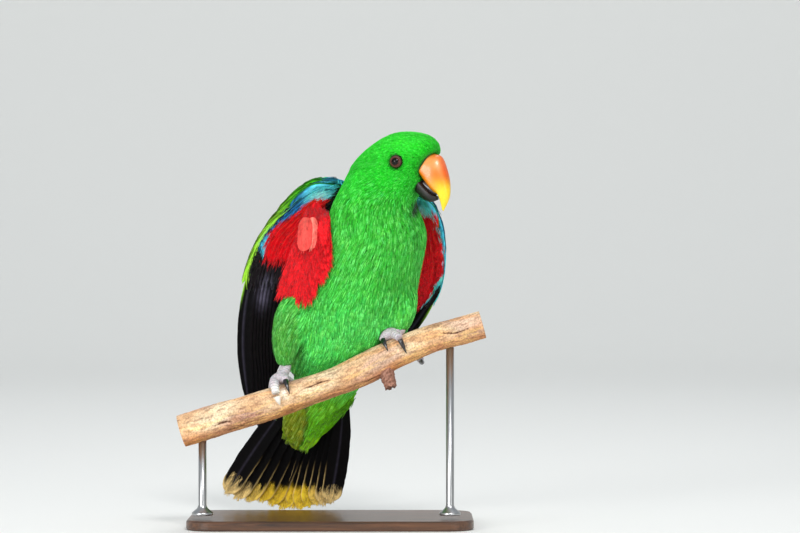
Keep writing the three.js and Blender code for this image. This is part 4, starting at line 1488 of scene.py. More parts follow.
@dataclass
class WingShape:
    """One wing as a bent sheet: its leading edge, the way in from it, and which side is upper."""

    name: str
    dorsal: float
    edge: Array
    across: Array
    width: float = 70.0
    camber: float = 5.0

    def __post_init__(self) -> None:
        """Makes the two curves that carry the sheet."""
        self.edge_curve = Curve(self.edge)
        self.across_curve = Curve(self.across)

    def at(self, u: Array, d: Array) -> Array:
        """Gives the sheet's place at a share along the wing and a distance in from its edge.

        Args:
            u: Shares from the wrist to the tip.
            d: Distances in millimetres.

        Returns:
            Places in millimetres.
        """
        u = np.clip(np.asarray(u, float), 0, 1)
        d = np.asarray(d, float)
        start = self.edge_curve.at(u)
        h = 0.002
        tangent = unit(self.edge_curve.at(np.minimum(1, u + h)) - self.edge_curve.at(np.maximum(0, u - h)))
        across = unit(self.across_curve.at(u))
        face = unit(np.cross(tangent, across)) * self.dorsal
        share = np.clip(d / self.width, -0.1, 1.1)
        return start + across * d[..., None] + face * (4 * self.camber * share * (1 - share))[..., None]

    def ways(self, u: Array, d: Array) -> tuple[Array, Array]:
        """Gives the sheet's directions in from its edge and out of its upper side.

        Args:
            u: Shares along the wing.
            d: Distances in from its edge.

        Returns:
            The two directions at each place.
        """
        along = unit(self.at(np.minimum(1, u + 0.01), d) - self.at(np.maximum(0, u - 0.01), d))
        side = self.at(u, d + 0.5) - self.at(u, d - 0.5)
        side = unit(side - along * np.sum(along * side, -1, keepdims=True))
        return side, np.cross(along, side) * self.dorsal

    def cover(self, u: Array, d: Array) -> Array:
        """Gives how far the arm's own form stands off the sheet, in millimetres."""
        along, across = (u - ARM_MIDDLE) / ARM_REACH, (d - 32) / ARM_DEPTH
        return ARM_THICK * np.sqrt(np.clip(1 - along**2 - across**2, 0, 1))

    def line(self, rows: int, u: Span, d: Span, lift: Span, twist: float, hug: float = 0.0) -> Shaft:
        """Lays a feather's shaft on the sheet.

        Args:
            rows: How many places along it.
            u: Where it starts and ends along the wing.
            d: Where it starts and ends in from the edge.
            lift: How far it stands off the sheet at its start and end.
            twist: How far its outer edge is raised, in degrees.
            hug: 1 or -1 to lie on the arm's upper or under side, 0 to ignore it.

        Returns:
            The places, the direction across and the direction out of the upper side.
        """
        t = np.linspace(0, 1, rows)
        uu, dd = between(u, t), between(d, t)
        side, up = self.ways(uu, dd)
        at = self.at(uu, dd) + up * (between(lift, t) + hug * self.cover(uu, dd))[:, None]
        a = math.radians(twist)
        return at, side * math.cos(a) - up * math.sin(a), up * math.cos(a) + side * math.sin(a)


RIGHT_WING = WingShape(
    "right",
    -1.0,
    np.array(
        [
            [-3, 8, 275], [-22, 13, 272], [-44.5, 21, 255], [-65, 34, 231], [-77, 48, 204], [-84, 62, 173],
            [-86, 76, 140], [-83, 90, 106], [-77, 102, 70],
        ],
        float,
    ),
    np.array(
        [
            [0.6, 0.62, -0.5], [0.72, 0.5, -0.45], [0.88, 0.36, -0.3], [0.93, 0.24, -0.25], [0.95, 0.15, -0.25],
            [0.97, 0.1, -0.2], [0.98, 0.08, -0.18], [0.98, 0.1, -0.15], [0.98, 0.1, -0.12],
        ],
        float,
    ),
)
LEFT_WING = WingShape(
    "left",
    1.0,
    np.array(
        [
            [60, 26.6, 268], [73, 25, 257], [81, 29, 237], [83.5, 36, 210], [79, 47, 186], [65, 62, 161],
            [40, 79, 133], [10, 97, 104], [-12, 110, 78],
        ],
        float,
    ),
    np.array(
        [
            [-0.6, 0.6, -0.5], [-0.7, 0.55, -0.4], [-0.82, 0.46, -0.28], [-0.87, 0.42, -0.22], [-0.89, 0.38, -0.2],
            [-0.91, 0.34, -0.2], [-0.93, 0.3, -0.2], [-0.95, 0.25, -0.18], [-0.96, 0.2, -0.15],
        ],
        float,
    ),
)


class Web(Enum):
    """The tiers of wing coverts, by where they lie."""

    UPPER_GREATER = "upper_greater"
    UPPER_MEDIAN = "upper_median"
    UPPER_LESSER = "upper_lesser"
    UNDER_GREATER = "under_greater"
    UNDER_MEDIAN = "under_median"
    UNDER_LESSER = "under_lesser"
    UNDER_LOOSE = "under_loose"


@dataclass(frozen=True)
class CovertRow:
    """One tier of coverts on the sheet."""

    web: Web
    count: int
    u: Span
    d: Span
    lift: Span
    half: float
    twist: float
    slope: float = -0.03
    strands: int = 0


COVERT_ROWS = (
    CovertRow(Web.UNDER_GREATER, 12, (0.22, 0.555), (3, 60), (-0.9, -1.7), 6.0, -7, strands=60),
    CovertRow(Web.UNDER_MEDIAN, 12, (0.14, 0.465), (4, 58), (-1.2, -2.6), 6.2, -8, strands=130),
    CovertRow(Web.UNDER_MEDIAN, 12, (0.08, 0.36), (4, 56), (-1.6, -2.6), 6.2, -8, strands=110),
    CovertRow(Web.UNDER_LESSER, 12, (0.03, 0.25), (4, 54), (-2.0, -2.8), 5.8, -8, strands=90),
    CovertRow(Web.UNDER_LOOSE, 16, (0.3, 0.56), (9, 24), (-2.6, -4.6), 1.3, -8, slope=0.02, strands=60),
    CovertRow(Web.UPPER_GREATER, 13, (0.2, 0.5), (4, 62), (1.0, 2.4), 5.8, 8, strands=30),
    CovertRow(Web.UPPER_MEDIAN, 12, (0.12, 0.38), (3, 58), (1.4, 3.0), 6.0, 8, strands=40),
    CovertRow(Web.UPPER_MEDIAN, 11, (0.06, 0.28), (3, 52), (1.8, 3.2), 5.8, 8, strands=50),
    CovertRow(Web.UPPER_LESSER, 11, (0.0, 0.2), (2, 46), (2.2, 3.4), 5.2, 8, strands=50),
    CovertRow(Web.UPPER_LESSER, 9, (-0.02, 0.12), (2, 38), (2.6, 3.8), 5.0, 8, strands=50),
)
# Where each flight feather's tip comes, outermost first, as a share of the wing's length
FLIGHT_TIPS = np.array([0.92, 0.985, 1, 0.97, 0.93, 0.88, 0.83, 0.79, 0.75, 0.73, 0.71, 0.69, 0.66, 0.62])


@dataclass(frozen=True)
class UnderPattern:
    """A wing's markings from below: green rim, turquoise to blue band, red coverts and black quills, and on the right
    wing a painted shadow next to the body.

    Each table pairs shares along the wing with distances in from its edge, or the other way about for red_end.
    """

    green: tuple[tuple[float, ...], tuple[float, ...]]
    border: tuple[tuple[float, ...], tuple[float, ...]]
    red_end: tuple[tuple[float, ...], tuple[float, ...]]
    shadow_from: tuple[tuple[float, ...], tuple[float, ...]]
    blue_from: float
    sheen_at: Span
    rim: Plume
    rim_depth: float

    def sheen(self, u: Array, d: Array) -> Array:
        """Gives how strongly the grey sheen over the quills' bases shows."""
        return np.exp(-(((u - self.sheen_at[0]) / 0.035) ** 2) - ((d - self.sheen_at[1]) / 4.5) ** 2) * 0.9

    def above(self, u: Array, d: Array, back: Array) -> Array:
        """Gives the marking of the upper side, bright along the leading edge.

        Args:
            u: Shares along the wing.
            d: Distances in from its edge.
            back: The colour further in.

        Returns:
            One linear colour for each place.
        """
        rim = blend(self.rim.rgb(), (Plume.LIME, smooth(0.16, 0.3, u) * (self.rim is Plume.EDGE)))
        rim = blend(Plume.TURQUOISE, (rim, smooth(0.06, 0.1, u)))
        streak = 0.98 + 0.3 * np.sin(d * 4.1 + u * 90)
        return blend(
            back, (rim * streak[..., None], 1 - smooth(self.rim_depth, self.rim_depth * 1.8, d)),
            (Plume.BLACK, (1 - smooth(-0.9, 0.2, d)) * 0.8),
        )

    def colour(self, u: Array, d: Array) -> Array:
        """Gives the marking at places on the sheet.

        Args:
            u: Shares along the wing.
            d: Distances in from its edge.

        Returns:
            One linear colour for each place.
        """
        border = np.interp(u, *self.border) + 0.7 * np.sin(u * 140) + 0.5 * np.sin(u * 61 + d)
        green = np.interp(u, *self.green)
        striped = smooth(self.blue_from, self.blue_from + 0.07, u)
        # A pale cyan painted highlight lies over the turquoise in one patch near the wrist
        band = blend(
            Plume.TURQUOISE, (Plume.BLUE, striped),
            (Plume.CYAN_HIGHLIGHT, np.exp(-(((u - 0.13) / 0.05) ** 2) - ((d - 7) / 5) ** 2) * 0.5),
        )
        band = band * (1 + 0.18 * np.sin(u * 210 + d * 1.3))[..., None]
        stripe = smooth(0.0, 0.5, np.sin(FULL_TURN * d / 3.1 + 14 * u)) * striped
        band = blend(band, (Plume.BLACK, stripe * 0.9))
        scallop = np.exp(-(((d - border + 1.4) / 1.6) ** 2)) * smooth(0.34, 0.38, u)
        band = blend(band, (Plume.TURQUOISE, scallop * 0.9))
        # Further in from the edge the red is painted darker, as painted shade
        red = blend(Plume.RED, (Plume.RED_SHADE, smooth(22, 32, d) * 0.5))
        colour = blend(band, (red, smooth(-0.4, 0.4, d - border)))
        end = np.interp(d, *self.red_end) + 0.004 * np.sin(d * 1.9)
        # Near the body, beyond shadow_from, the under side is painted black as painted shadow
        colour = blend(
            colour, (Plume.SOOT, smooth(-0.005, 0.005, u - end)), (Plume.SHEEN, self.sheen(u, d)),
            (Plume.BLACK, smooth(-0.6, 0.8, d - np.interp(u, *self.shadow_from))),
        )
        line = np.exp(-(((d - green - 1.1) / 0.7) ** 2)) * smooth(0.08, 0.14, u) * (green > -8)
        colour = blend(colour, (Plume.BLACK, line))
        rim = blend(Plume.EDGE, (Plume.LIME, smooth(0.14, 0.3, u)))
        return blend(colour, (rim, 1 - smooth(-0.4, 0.4, d - green)))


UNDER_PATTERNS = {
    "right": UnderPattern(
        ((0, 0.07, 0.1, 0.17, 0.23, 0.3, 0.45, 0.62, 0.7), (-9, -9, -4, -3, -2, -1, -0.4, 0, -9)),
        ((0, 0.1, 0.122, 0.15, 0.18, 0.25, 0.333, 0.388, 0.432, 0.5), (60, 22, 14.5, 9, 6, 6, 2.8, 4, 8, 16)),
        ((0, 5, 14, 27, 60), (0.40, 0.42, 0.465, 0.453, 0.42)),
        ((0, 0.033, 0.107, 0.163, 0.215, 0.263, 0.29), (3, 6.5, 14, 19, 24, 29, 90)),
        0.15,
        (0.545, 17),
        Plume.EDGE,
        9.0,
    ),
    "left": UnderPattern(
        ((0, 1), (-4, -4)),
        (
            (0, 0.1, 0.158, 0.175, 0.3, 0.37, 0.42, 0.44, 0.46, 0.48, 0.5, 0.53, 0.6),
            (26, 14, 4, -1.5, -1.5, -2.5, -2, 1.5, 3, 4, 5, 7, 10),
        ),
        ((-3, 0, 2, 4, 7, 10, 60), (0.45, 0.47, 0.49, 0.515, 0.545, 0.575, 0.6)),
        ((0, 1), (90, 90)),
        0.7,
        (9, 0),
        Plume.TURQUOISE,
        1.6,
    ),
}


# What the combed vanes of the wings and tail share, and the silky strands over them
COMBED = {"roughness": 0.5, "sheen": 0.02, "specular": 0.1, "barb_mm": 0.9, "mottle_mm": 4}
SILKY = {"roughness": 0.6, "sheen": 0.08}


@dataclass
class Wing:
    """One wing: flight feathers, coverts in tiers on both sides, and the arm beneath them."""

    shape: WingShape
    primaries: int = 10
    secondaries: int = 9

    def __post_init__(self) -> None:
        """Starts the stocks for the vanes and for the soft strands."""
        self.rng = np.random.default_rng(SEED + (1 if self.shape.name == "right" else 2))
        self.tier = VaneTier(MeshStock(), MeshStock(), self.rng)
        self.pattern = UNDER_PATTERNS[self.shape.name]

    def flight_paint(self, k: int, u: Span, d: Span) -> Paint:
        """Chooses a flight feather's colours.

        Args:
            k: Its number from the outermost.
            u: Where it starts and ends along the wing.
            d: Where it starts and ends in from the edge.

        Returns:
            Its paint.
        """
        outer = k < self.primaries
        upper = Plume.BLUE.rgb() * 0.55 if outer else blend(Plume.BACK, (Plume.BLUE, np.array(0.25)))
        edge = None
        if k < 3:
            edge = Plume.LIME.rgb() if k < 2 else Plume.BLUE.rgb()

        def paint(t: Array, c: Array, face: bool) -> Array:
            """Gives the colour at places on one side.

            Args:
                t: Shares along the feather.
                c: Shares across it, from -1 to 1.
                face: Whether the side is the upper one.

            Returns:
                One linear colour for each place.
            """
            base = plain(upper, Plume.BLACK.rgb())(t, c, face)
            if not face:
                pale = (1 - smooth(0.02, 0.1, np.abs(c))) * smooth(0.1, 0.3, t) * 0.2
                base = blend(base, (Plume.SHEEN, pale))
                uu, dd = between(u, t), between(d, t) + 7 * c
                base = blend(
                    base, (Plume.SHEEN, self.pattern.sheen(uu - 0.03, dd)),
                    (Plume.SOOT.rgb() * 1.6, smooth(0.8, 1.0, np.abs(c)) * 0.7),
                )
            if edge is not None:
                rim = (1 - smooth(-0.96, -0.62, c)) * smooth(0.05, 0.12, t) * (1 - smooth(0.44, 0.54, t))
                base = blend(base, (edge, rim))
            return base

        return paint

    def flights(self) -> None:
        """Lays the primaries and secondaries."""
        count = self.primaries + self.secondaries
        for k in range(count):
            share = k / (count - 1) * 13
            tip = float(np.interp(share, np.arange(14), FLIGHT_TIPS)) * self.rng.uniform(0.992, 1.004)
            outer = k < self.primaries
            inward = k / self.primaries if outer else (k - self.primaries) / self.secondaries
            root = 0.28 - 0.13 * inward if outer else 0.17 + 0.1 * inward
            out = 4 + 4.7 * share
            squeeze = 1 - 0.28 * max(0.0, (tip - 0.7) / 0.3)
            shape = VaneShape(FLIGHT_CUT, rows=30, columns=9, webs=(0.6, 1.1) if outer else (0.85, 1.05), split=0.07)
            u, d = (root, tip), (2 + out * 0.9, out * squeeze)
            line = self.shape.line(shape.rows, u, d, (-0.8 + share * 0.1, share * 0.14), 11)
            self.tier.lay(shape, line, 7.6, self.flight_paint(k, u, d))

    def under_paint(self, u: Span, d: Span, half: float) -> Paint:
        """Colours a feather of the under side by where it lies on the wing.

        Args:
            u: Where it starts and ends along the wing.
            d: Where it starts and ends in from the edge.
            half: Its half width.

        Returns:
            Its paint.
        """
        # Painted light: the under side is painted 1.1 to 1.45 times as light as its colours, more on the left wing,
        # against the shade it lies in
        tone = self.rng.uniform(1.1, 1.45) * (SHADED_WING if self.shape.name == "left" else 1.0)

        def paint(t: Array, c: Array, face: bool) -> Array:
            """Gives the colour at places on one side.

            Args:
                t: Shares along the feather.
                c: Shares across it, from -1 to 1.
                face: Whether the side is the upper one.

            Returns:
                One linear colour for each place.
            """
            if face:
                return np.broadcast_to(Plume.BACK.rgb(), t.shape + (3,))
            uu, dd = between(u, t), between(d, t) + c * half
            shade = tone * (0.84 + 0.2 * smooth(0.1, 0.8, t)) * (1 - 0.14 * (1 - smooth(0.03, 0.1, np.abs(c))))
            return np.minimum(self.pattern.colour(uu, dd) * shade[:, None], 1.0)

        return paint

    def upper_paint(self, row: CovertRow, u: Span, d: Span) -> Paint:
        """Colours a feather of the upper side by its tier and where it lies on the wing.

        Args:
            row: Its tier.
            u: Where it starts and ends along the wing.
            d: Where it starts and ends in from the edge.

        Returns:
            Its paint.
        """
        green = Plume.BACK.rgb() * self.rng.uniform(0.9, 1.3)
        if row.web is Web.UPPER_GREATER and d[0] < 24:
            green = Plume.BLUE.rgb() * 0.8
        base = plain(green, green, edge=green * 1.25)

        def paint(t: Array, c: Array, face: bool) -> Array:
            """Gives the colour at shares along and across one side."""
            uu, dd = between(u, t), between(d, t) + c * row.half
            return self.pattern.above(uu, dd, base(t, c, face))

        return paint

    def coverts(self) -> None:
        """Lays every tier of coverts."""
        shape = VaneShape(COVERT_CUT, rows=14, columns=9, split=0.14)
        for row in COVERT_ROWS:
            under = row.lift[1] < 0
            if row.web is Web.UNDER_LOOSE and self.shape.name == "right":
                continue
            for i in range(row.count):
                share = i / (row.count - 1)
                d0 = between(row.d, share) + self.rng.normal(0, 0.4)
                shift = row.slope * share + self.rng.normal(0, 0.004)
                u, d = (row.u[0] + shift * 0.4, row.u[1] + shift), (d0, d0 + 1)
                flat = 1.0 if under or self.shape.name == "right" else 0.5
                line = self.shape.line(
                    14, u, d, (row.lift[0] * flat, row.lift[1] * flat), row.twist * flat, -1.0 if under else flat
                )
                paint = self.under_paint(u, d, row.half) if under else self.upper_paint(row, u, d)
                self.tier.lay(shape, line, row.half, paint)
                self.tier.fringe(line, row.half, paint, not under, Strands(row.strands, 6.5, 0.3, 0.5))

    def edge_coverts(self) -> None:
        """Lays the small overlapping feathers over the wrist and along the leading edge."""
        shape = VaneShape(COVERT_CUT, rows=9, columns=5, split=0.1)
        for d0, reach in (
            (0.8, 0.5), (3.4, 0.46), (6.4, 0.36), (9.6, 0.27), (13, 0.22), (16.6, 0.19), (20.4, 0.17), (24, 0.15)
        ):
            count = int(64 * reach)
            for i in range(count):
                u0 = max(0.0, -0.02 + reach * i / count + self.rng.normal(0, 0.003))
                u, d = (u0, u0 + 0.042), (d0 + self.rng.normal(0, 0.4), d0 + 0.5)
                line = self.shape.line(9, u, d, (-2.2, -3.3), -6, -1.0)
                paint = self.under_paint(u, d, 2.7)
                self.tier.lay(shape, line, 2.7, paint)
                self.tier.fringe(line, 2.4, paint, False, Strands(22, 3.6, 0.24, 0.35))

    def outer_edge(self) -> None:
        """Lays the green feathers of the upper side that show past the leading edge."""
        shape = VaneShape(COVERT_CUT, rows=12, columns=5, split=0.1)
        for i in range(34):
            u0 = -0.02 + 0.5 * i / 34
            u, d = (max(0.0, u0), u0 + 0.08), (0.4 + self.rng.normal(0, 0.3), -0.2)
            line = self.shape.line(12, u, d, (0.6, 1.6), 10)
            # Painted light: these feathers are painted a fifth lighter, against the shade on the wing's upper side
            colour = self.pattern.above(np.array(max(u0, 0.0)), np.array(1.0), Plume.BACK.rgb()) * 1.2
            paint = plain(colour, colour, edge=Plume.BLACK.rgb() if self.shape.name == "right" else colour)
            half = 1.9 if self.shape.name == "right" else 1.1
            self.tier.lay(shape, line, half, paint)
            self.tier.fringe(line, half * 0.8, paint, False, Strands(14, 4.5, 0.2, 0.25))

    def arm(self) -> None:
        """Builds the arm and hand as one smooth form under the coverts."""
        rows, around = 30, 40
        v, a, y, x, z = ball_grid(rows, around, 0.02)
        u = np.maximum(ARM_MIDDLE + ARM_REACH * y, 0)
        d = ARM_DEPTH * 0.94 + ARM_DEPTH * x * (1 - 0.12 * y)
        _, up = self.shape.ways(u, d)
        form = self.shape.at(u, d) + up * (ARM_THICK * z)[..., None]
        # The arm's upper side is the back's green painted darker, as painted shade under the coverts
        colour = np.where((z > 0)[..., None], Plume.BACK.rgb() * 0.7, self.pattern.colour(u, d))
        turned = [np.tile(a, (rows, 1)).ravel() / 6.4, np.tile(v, (1, around)).ravel() / 3.2]
        self.tier.stock.add_rings(form, colour, self.shape.dorsal < 0, np.stack(turned, 1) * 0.07 + 0.92)

    def build(self) -> None:
        """Builds the wing's vanes and strands."""
        self.arm()
        self.flights()
        self.coverts()
        self.edge_coverts()
        self.outer_edge()
        name = "wing_" + self.shape.name
        vanes = self.tier.stock.make(
            name + "_vanes", FeatherFinish(name + "_vane_combed", **COMBED).make(), vane=True
        )
        strands = self.tier.strands.make(name + "_strands", FeatherFinish(name + "_covert_silky", **SILKY).make())
        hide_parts(name)


@dataclass
class Axillaries:
    """The long red feathers of the armpit, fanned over the flank, with two loose coral feathers."""

    roots: Array = table([[-23, 9, 250], [-13.5, 3, 249]])
    tips: Array = table(
        [[-50, 10, 182], [-38, 0, 182], [-28, -10, 179], [-15, -19, 194], [-7, -23, 208], [-12, -21, 226]]
    )
    facing_way: Array = table([-0.4, -0.9, 0.1])
    clear: float = 2.6
    count: int = 18

    def one(self, root: Array, tip: Array, clear: float, twist: float, rows: int = 16) -> Shaft:
        """Lays one feather's shaft over the flank.

        Args:
            root: Where it starts.
            tip: Where it ends.
            clear: How far it stays off the trunk.
            twist: How far its edge is raised, in degrees.
            rows: How many places along it.

        Returns:
            The places, the direction across and the direction out of its outer side.
        """
        t = np.linspace(0, 1, rows)[:, None]
        at = outside_trunk(root + (tip - root) * t, clear)
        along = unit(np.gradient(at, axis=0))
        side = unit(np.cross(along, np.broadcast_to(self.facing_way, at.shape)))
        face = np.cross(side, along)
        a = math.radians(twist)
        turned = side * math.cos(a) + face * math.sin(a)
        return at, turned, np.cross(turned, along)

    def build(self) -> None:
        """Builds the fan, its strands and the two loose feathers."""
        rng = np.random.default_rng(SEED + 5)
        tier = VaneTier(MeshStock(), MeshStock(), rng, cells=8)
        shape = VaneShape(
            np.array([[0, 0.3], [0.2, 0.7], [0.5, 0.95], [0.8, 0.9], [0.94, 0.6], [1, 0.25]]), rows=16, columns=7,
            split=0.2,
        )
        ends = Curve(self.tips)
        for reach, clear, strands in (
            (1.0, self.clear, 300), (0.84, self.clear + 0.7, 250), (0.62, self.clear + 1.4, 190),
            (0.42, self.clear + 2.0, 130),
        ):
            for i in range(self.count):
                share = i / (self.count - 1)
                root = between(self.roots, share)
                end = ends.at(np.array(share))
                tip = root + (end - root) * reach * rng.uniform(0.93, 1.03)
                root = root + (root - end) * rng.uniform(-0.03, 0.13)
                line = self.one(root, tip, clear, 4)
                red = Plume.RED.rgb() * rng.uniform(0.98, 1.22)
                # The under side is painted as a darker copy of the red, as painted shade
                paint = plain(red, red * 0.8)
                tier.lay(shape, line, 5.4, paint)
                tier.fringe(line, 6.4, paint, True, Strands(strands, 10.5, 0.22, 0.55))
                # Loose hair-like ends soften the fan's border
                tier.fringe(tuple(part[-5:] for part in line), 6.4, paint, True, Strands(34, 9.0, 0.13, 0.8))
        coral = plain(Plume.CORAL.rgb(), Plume.CORAL.rgb(), edge=Plume.CORAL.rgb() * 0.9)
        oval = VaneShape(
            np.array([[0, 0.3], [0.06, 0.66], [0.2, 0.92], [0.45, 1], [0.78, 0.98], [0.92, 0.75], [1, 0.3]]),
            rows=22, columns=11, split=0.03, camber=0.15,
        )
        for root, tip, half, pale in (
            ([-27.6, -2, 246.5], [-29, -7, 219.5], 6.6, 0.2), ([-22, -3, 246.5], [-23, -8, 221], 5, 0.75)
        ):

            def loose_paint(t: Array, c: Array, face: bool, pale: float = pale) -> Array:
                """Gives a loose feather's colour, paler along its shaft."""
                shaft = (1 - smooth(0.0, 0.6, np.abs(c))) * 0.5
                return blend(coral(t, c, face), (Plume.CORAL_SHAFT, (0.4 + shaft) * pale))

            line = self.one(np.array(root, float), np.array(tip, float), 5.0 + 1.6 * pale, 0, rows=22)
            tier.lay(oval, line, half, loose_paint)
            tier.fringe(line, half, loose_paint, True, Strands(90, 4.0, 0.14, 0.12))
        vanes = tier.stock.make(
            "axillaries_vanes", FeatherFinish("axillary_vane_soft", roughness=0.65, sheen=0.06, barb_mm=0.9).make(),
            vane=True,
        )
        strands = tier.strands.make("axillaries_strands", FeatherFinish("axillary_strand_silky", **SILKY).make())
        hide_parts("axillaries_right")


@dataclass
class Tail:
    """Twelve tail feathers in a fan, stepped down outwards, with the coverts above."""

    root: Array = table([-12.0, 70.0, 104.0])
    axis: Array = table([-0.305, 0.36, -0.88])
    upper: Array = table([0.1, 0.9, 0.42])
    lengths: Span = (120.0, 98.0)
    fan: Span = (15.5, 11.0)
    feathers: int = 12
    half: float = 9.4
    step: float = 0.98
    root_spread: Span = (21.0, 14.0)

    def __post_init__(self) -> None:
        """Works out the fan's own directions."""
        self.down = unit(self.axis)
        self.side = unit(np.cross(self.down, self.upper))
        self.top = unit(np.cross(self.side, self.down))

    def line(
        self, share: float, fan: Span, start: float, length: float, lift: Span, rows: int, droop: float = 0.0
    ) -> Shaft:
        """Lays one feather's shaft in the fan.

        Args:
            share: Its place across the fan, from -1 to 1.
            fan: How far it opens to each side, in degrees.
            start: Where it starts along the way out.
            length: Where it ends.
            lift: How far it stands above the fan's middle plane at its start and end.
            rows: How many places along it.
            droop: How far the tip bends down.

        Returns:
            The places, the direction across and the direction out of its upper side.
        """
        half = int(share > 0)
        a = share * math.radians(fan[half])
        way = self.down * math.cos(a) + self.side * math.sin(a)
        out = unit(np.cross(way, self.top))
        t = np.linspace(0, 1, rows)
        at = self.root + self.side * share * self.root_spread[half] + way * (start + (length - start) * t)[:, None]
        at = at + self.top * (between(lift, t) - droop * t * t)[:, None]
        # Outer feathers bow outwards before they come in at the tip
        at = at + out * (share * 2.2 * np.sin(math.pi * t))[:, None]
        return at, np.broadcast_to(out, at.shape), np.broadcast_to(self.top, at.shape)

    def paint(self, share: float) -> Paint:
        """Chooses a tail feather's colours by its place in the fan.

        Args:
            share: From -1 to 1 across the fan.

        Returns:
            Its paint.
        """
        middle = 1 - abs(share)
        tip = blend(Plume.BUFF, (Plume.GOLD, smooth(0.1, 0.55, np.array(middle))))
        start = 0.945 - 0.095 * middle

        def colour(t: Array, c: Array, face: bool) -> Array:
            """Gives the colour at places on one side.

            Args:
                t: Shares along the feather.
                c: Shares across it, from -1 to 1.
                face: Whether the side is the upper one.

            Returns:
                One linear colour for each place.
            """
            if face:
                base = blend(Plume.BACK, (Plume.BLUE, np.full(t.shape, 0.25 + 0.5 * abs(share))))
                base = base * (1 - 0.2 * np.exp(-((c / 0.06) ** 2)))[:, None]
            else:
                base = np.broadcast_to(Plume.BLACK.rgb() * 0.85, t.shape + (3,)).copy()
                base = blend(base, (Plume.SHEEN, (1 - smooth(0.0, 0.07, np.abs(c))) * 0.16))
            wave = 0.02 * np.sin(c * 9 + share * 20) + 0.012 * np.sin(c * 31 + share * 7) + 0.03 * c * c
            base = blend(base, (tip, smooth(start - 0.03, start + 0.035, t + wave)))
            # Only the inner web's edge is pale, and only towards the tip
            rim = smooth(0.84, 0.97, -c * (1 if share > 0 else -1)) * smooth(0.62, 0.86, t)
            return blend(base, (Plume.BUFF, rim * 0.8))

        return colour

    def build(self) -> None:
        """Builds the fan, the coverts above and the frayed tips."""
        rng = np.random.default_rng(SEED + 7)
        tier = VaneTier(MeshStock(), MeshStock(), rng, cells=8)
        for i in range(self.feathers):
            share = 2 * i / (self.feathers - 1) - 1
            outer = math.floor(abs(share) * self.feathers / 2)
            drop = -(outer + (0.5 if share > 0 else 0.0)) * self.step
            first, last = self.lengths
            length = first + (last - first) * (share + 1) / 2 - (6 if share > 0 else 3) * abs(share) ** 3
            shape = VaneShape(TAIL_CUT, rows=36, columns=13, thick=0.42, camber=0.09, split=0.06)
            at, side, up = self.line(share, self.fan, -8, length + rng.normal(0, 1.3), (drop * 0.9, drop), 36)
            # One web lies under its neighbour, so each feather tilts like a slat
            tilt = math.radians(3.5) * (1 if share > 0 else -1)
            side, up = side * math.cos(tilt) + up * math.sin(tilt), up * math.cos(tilt) - side * math.sin(tilt)
            paint = self.paint(share)
            tier.lay(shape, (at, side, up), self.half, paint)
            end = (at[-7:], side[-7:], up[-7:])

            def end_paint(t: Array, c: Array, face: bool, whole: Paint = paint) -> Array:
                """Gives the colour of the feather's last stretch."""
                return whole(0.93 + 0.07 * t, c, face)

            tier.fringe(end, self.half * 0.95, end_paint, False, Strands(260, 6.0, 0.24, 0.3))
        for count, reach, lift in ((7, 46, (3.0, 3.6)), (6, 34, (4.2, 5.6)), (5, 22, (5.4, 7.4))):
            for i in range(count):
                share = 2 * i / (count - 1) - 1
                line = self.line(share * 0.75, (15.0, 13.0), -8, reach + rng.normal(0, 1), lift, 14)
                # Lit and shaded copies of the back's green: the upper side painted lighter and the under side darker,
                # as painted light and shade
                paint = plain(Plume.BACK.rgb() * 1.1, Plume.BACK.rgb() * 0.6, edge=Plume.NECK.rgb())
                tier.lay(VaneShape(COVERT_CUT, rows=14, columns=7, split=0.14), line, 6.6, paint)
                tier.fringe(line, 6.4, paint, True, Strands(60, 6.0, 0.36, 0.5))
        self.rump(tier)
        self.under_coverts(tier, rng)
        vanes = tier.stock.make("tail_vanes", FeatherFinish("tail_vane_combed", **COMBED).make(), vane=True)
        strands = tier.strands.make("tail_strands", FeatherFinish("tail_covert_silky", **SILKY).make())
        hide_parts("tail")

    def rump(self, tier: VaneTier) -> None:
        """Builds the tail's fleshy root.

        Args:
            tier: Where it goes.
        """
        rows, around = 24, 30
        _, _, y, x, z = ball_grid(rows, around, 0.03)
        form = self.root + self.down * (6 + 21 * y)[..., None] + self.side * (22 * x - 2.5)[..., None]
        form = form + self.top * (9 * z)[..., None]
        # Painted shade: the back's green made darker, as the root lies under the coverts
        colour = Plume.BACK.rgb() * 0.7
        corners = closed_rings(form)
        spot = np.full((len(corners), 2), 0.97) + np.random.default_rng(1).uniform(0, 0.02, (len(corners), 2))
        tier.stock.add(corners, ring_faces(rows, around), colour, spot)

    def under_coverts(self, tier: VaneTier, rng: np.random.Generator) -> None:
        """Lays the long green undertail feathers in two lobes over the fan's under side.

        Args:
            tier: Where they go.
            rng: Draws their small differences.
        """
        lobes = (
            (np.array([-26.0, 60.0, 98.0]), np.array([-42.0, 76.0, 65.0]), 8.0, 10, Plume.OLIVE.rgb()),
            (np.array([-3.0, 56.0, 100.0]), np.array([-30.5, 79.0, 59.0]), 12.0, 16, Plume.VENT.rgb()),
        )
        for start, end, spread, count, green in lobes:
            for i in range(count):
                share = 2 * i / (count - 1) - 1
                root = start + np.array([spread * share * 1.2, -1.0, 2.0 * rng.normal()])
                tip = end + np.array(
                    [
                        spread * share * 0.62, -3.4 + 1.6 * abs(share) + rng.normal(0, 0.4),
                        (9 if share > 0 else 5) * share * share + rng.normal(0, 1.2),
                    ]
                )
                t = np.linspace(0, 1, 14)[:, None]
                bulge = np.sin(math.pi * t) * np.array([0, -4.5, 0])
                at = root + (tip - root) * t + bulge
                along = unit(np.gradient(at, axis=0))
                side = unit(np.cross(along, np.broadcast_to([0.0, -1.0, 0.1], at.shape)))
                base = green * rng.uniform(0.8, 1.2)
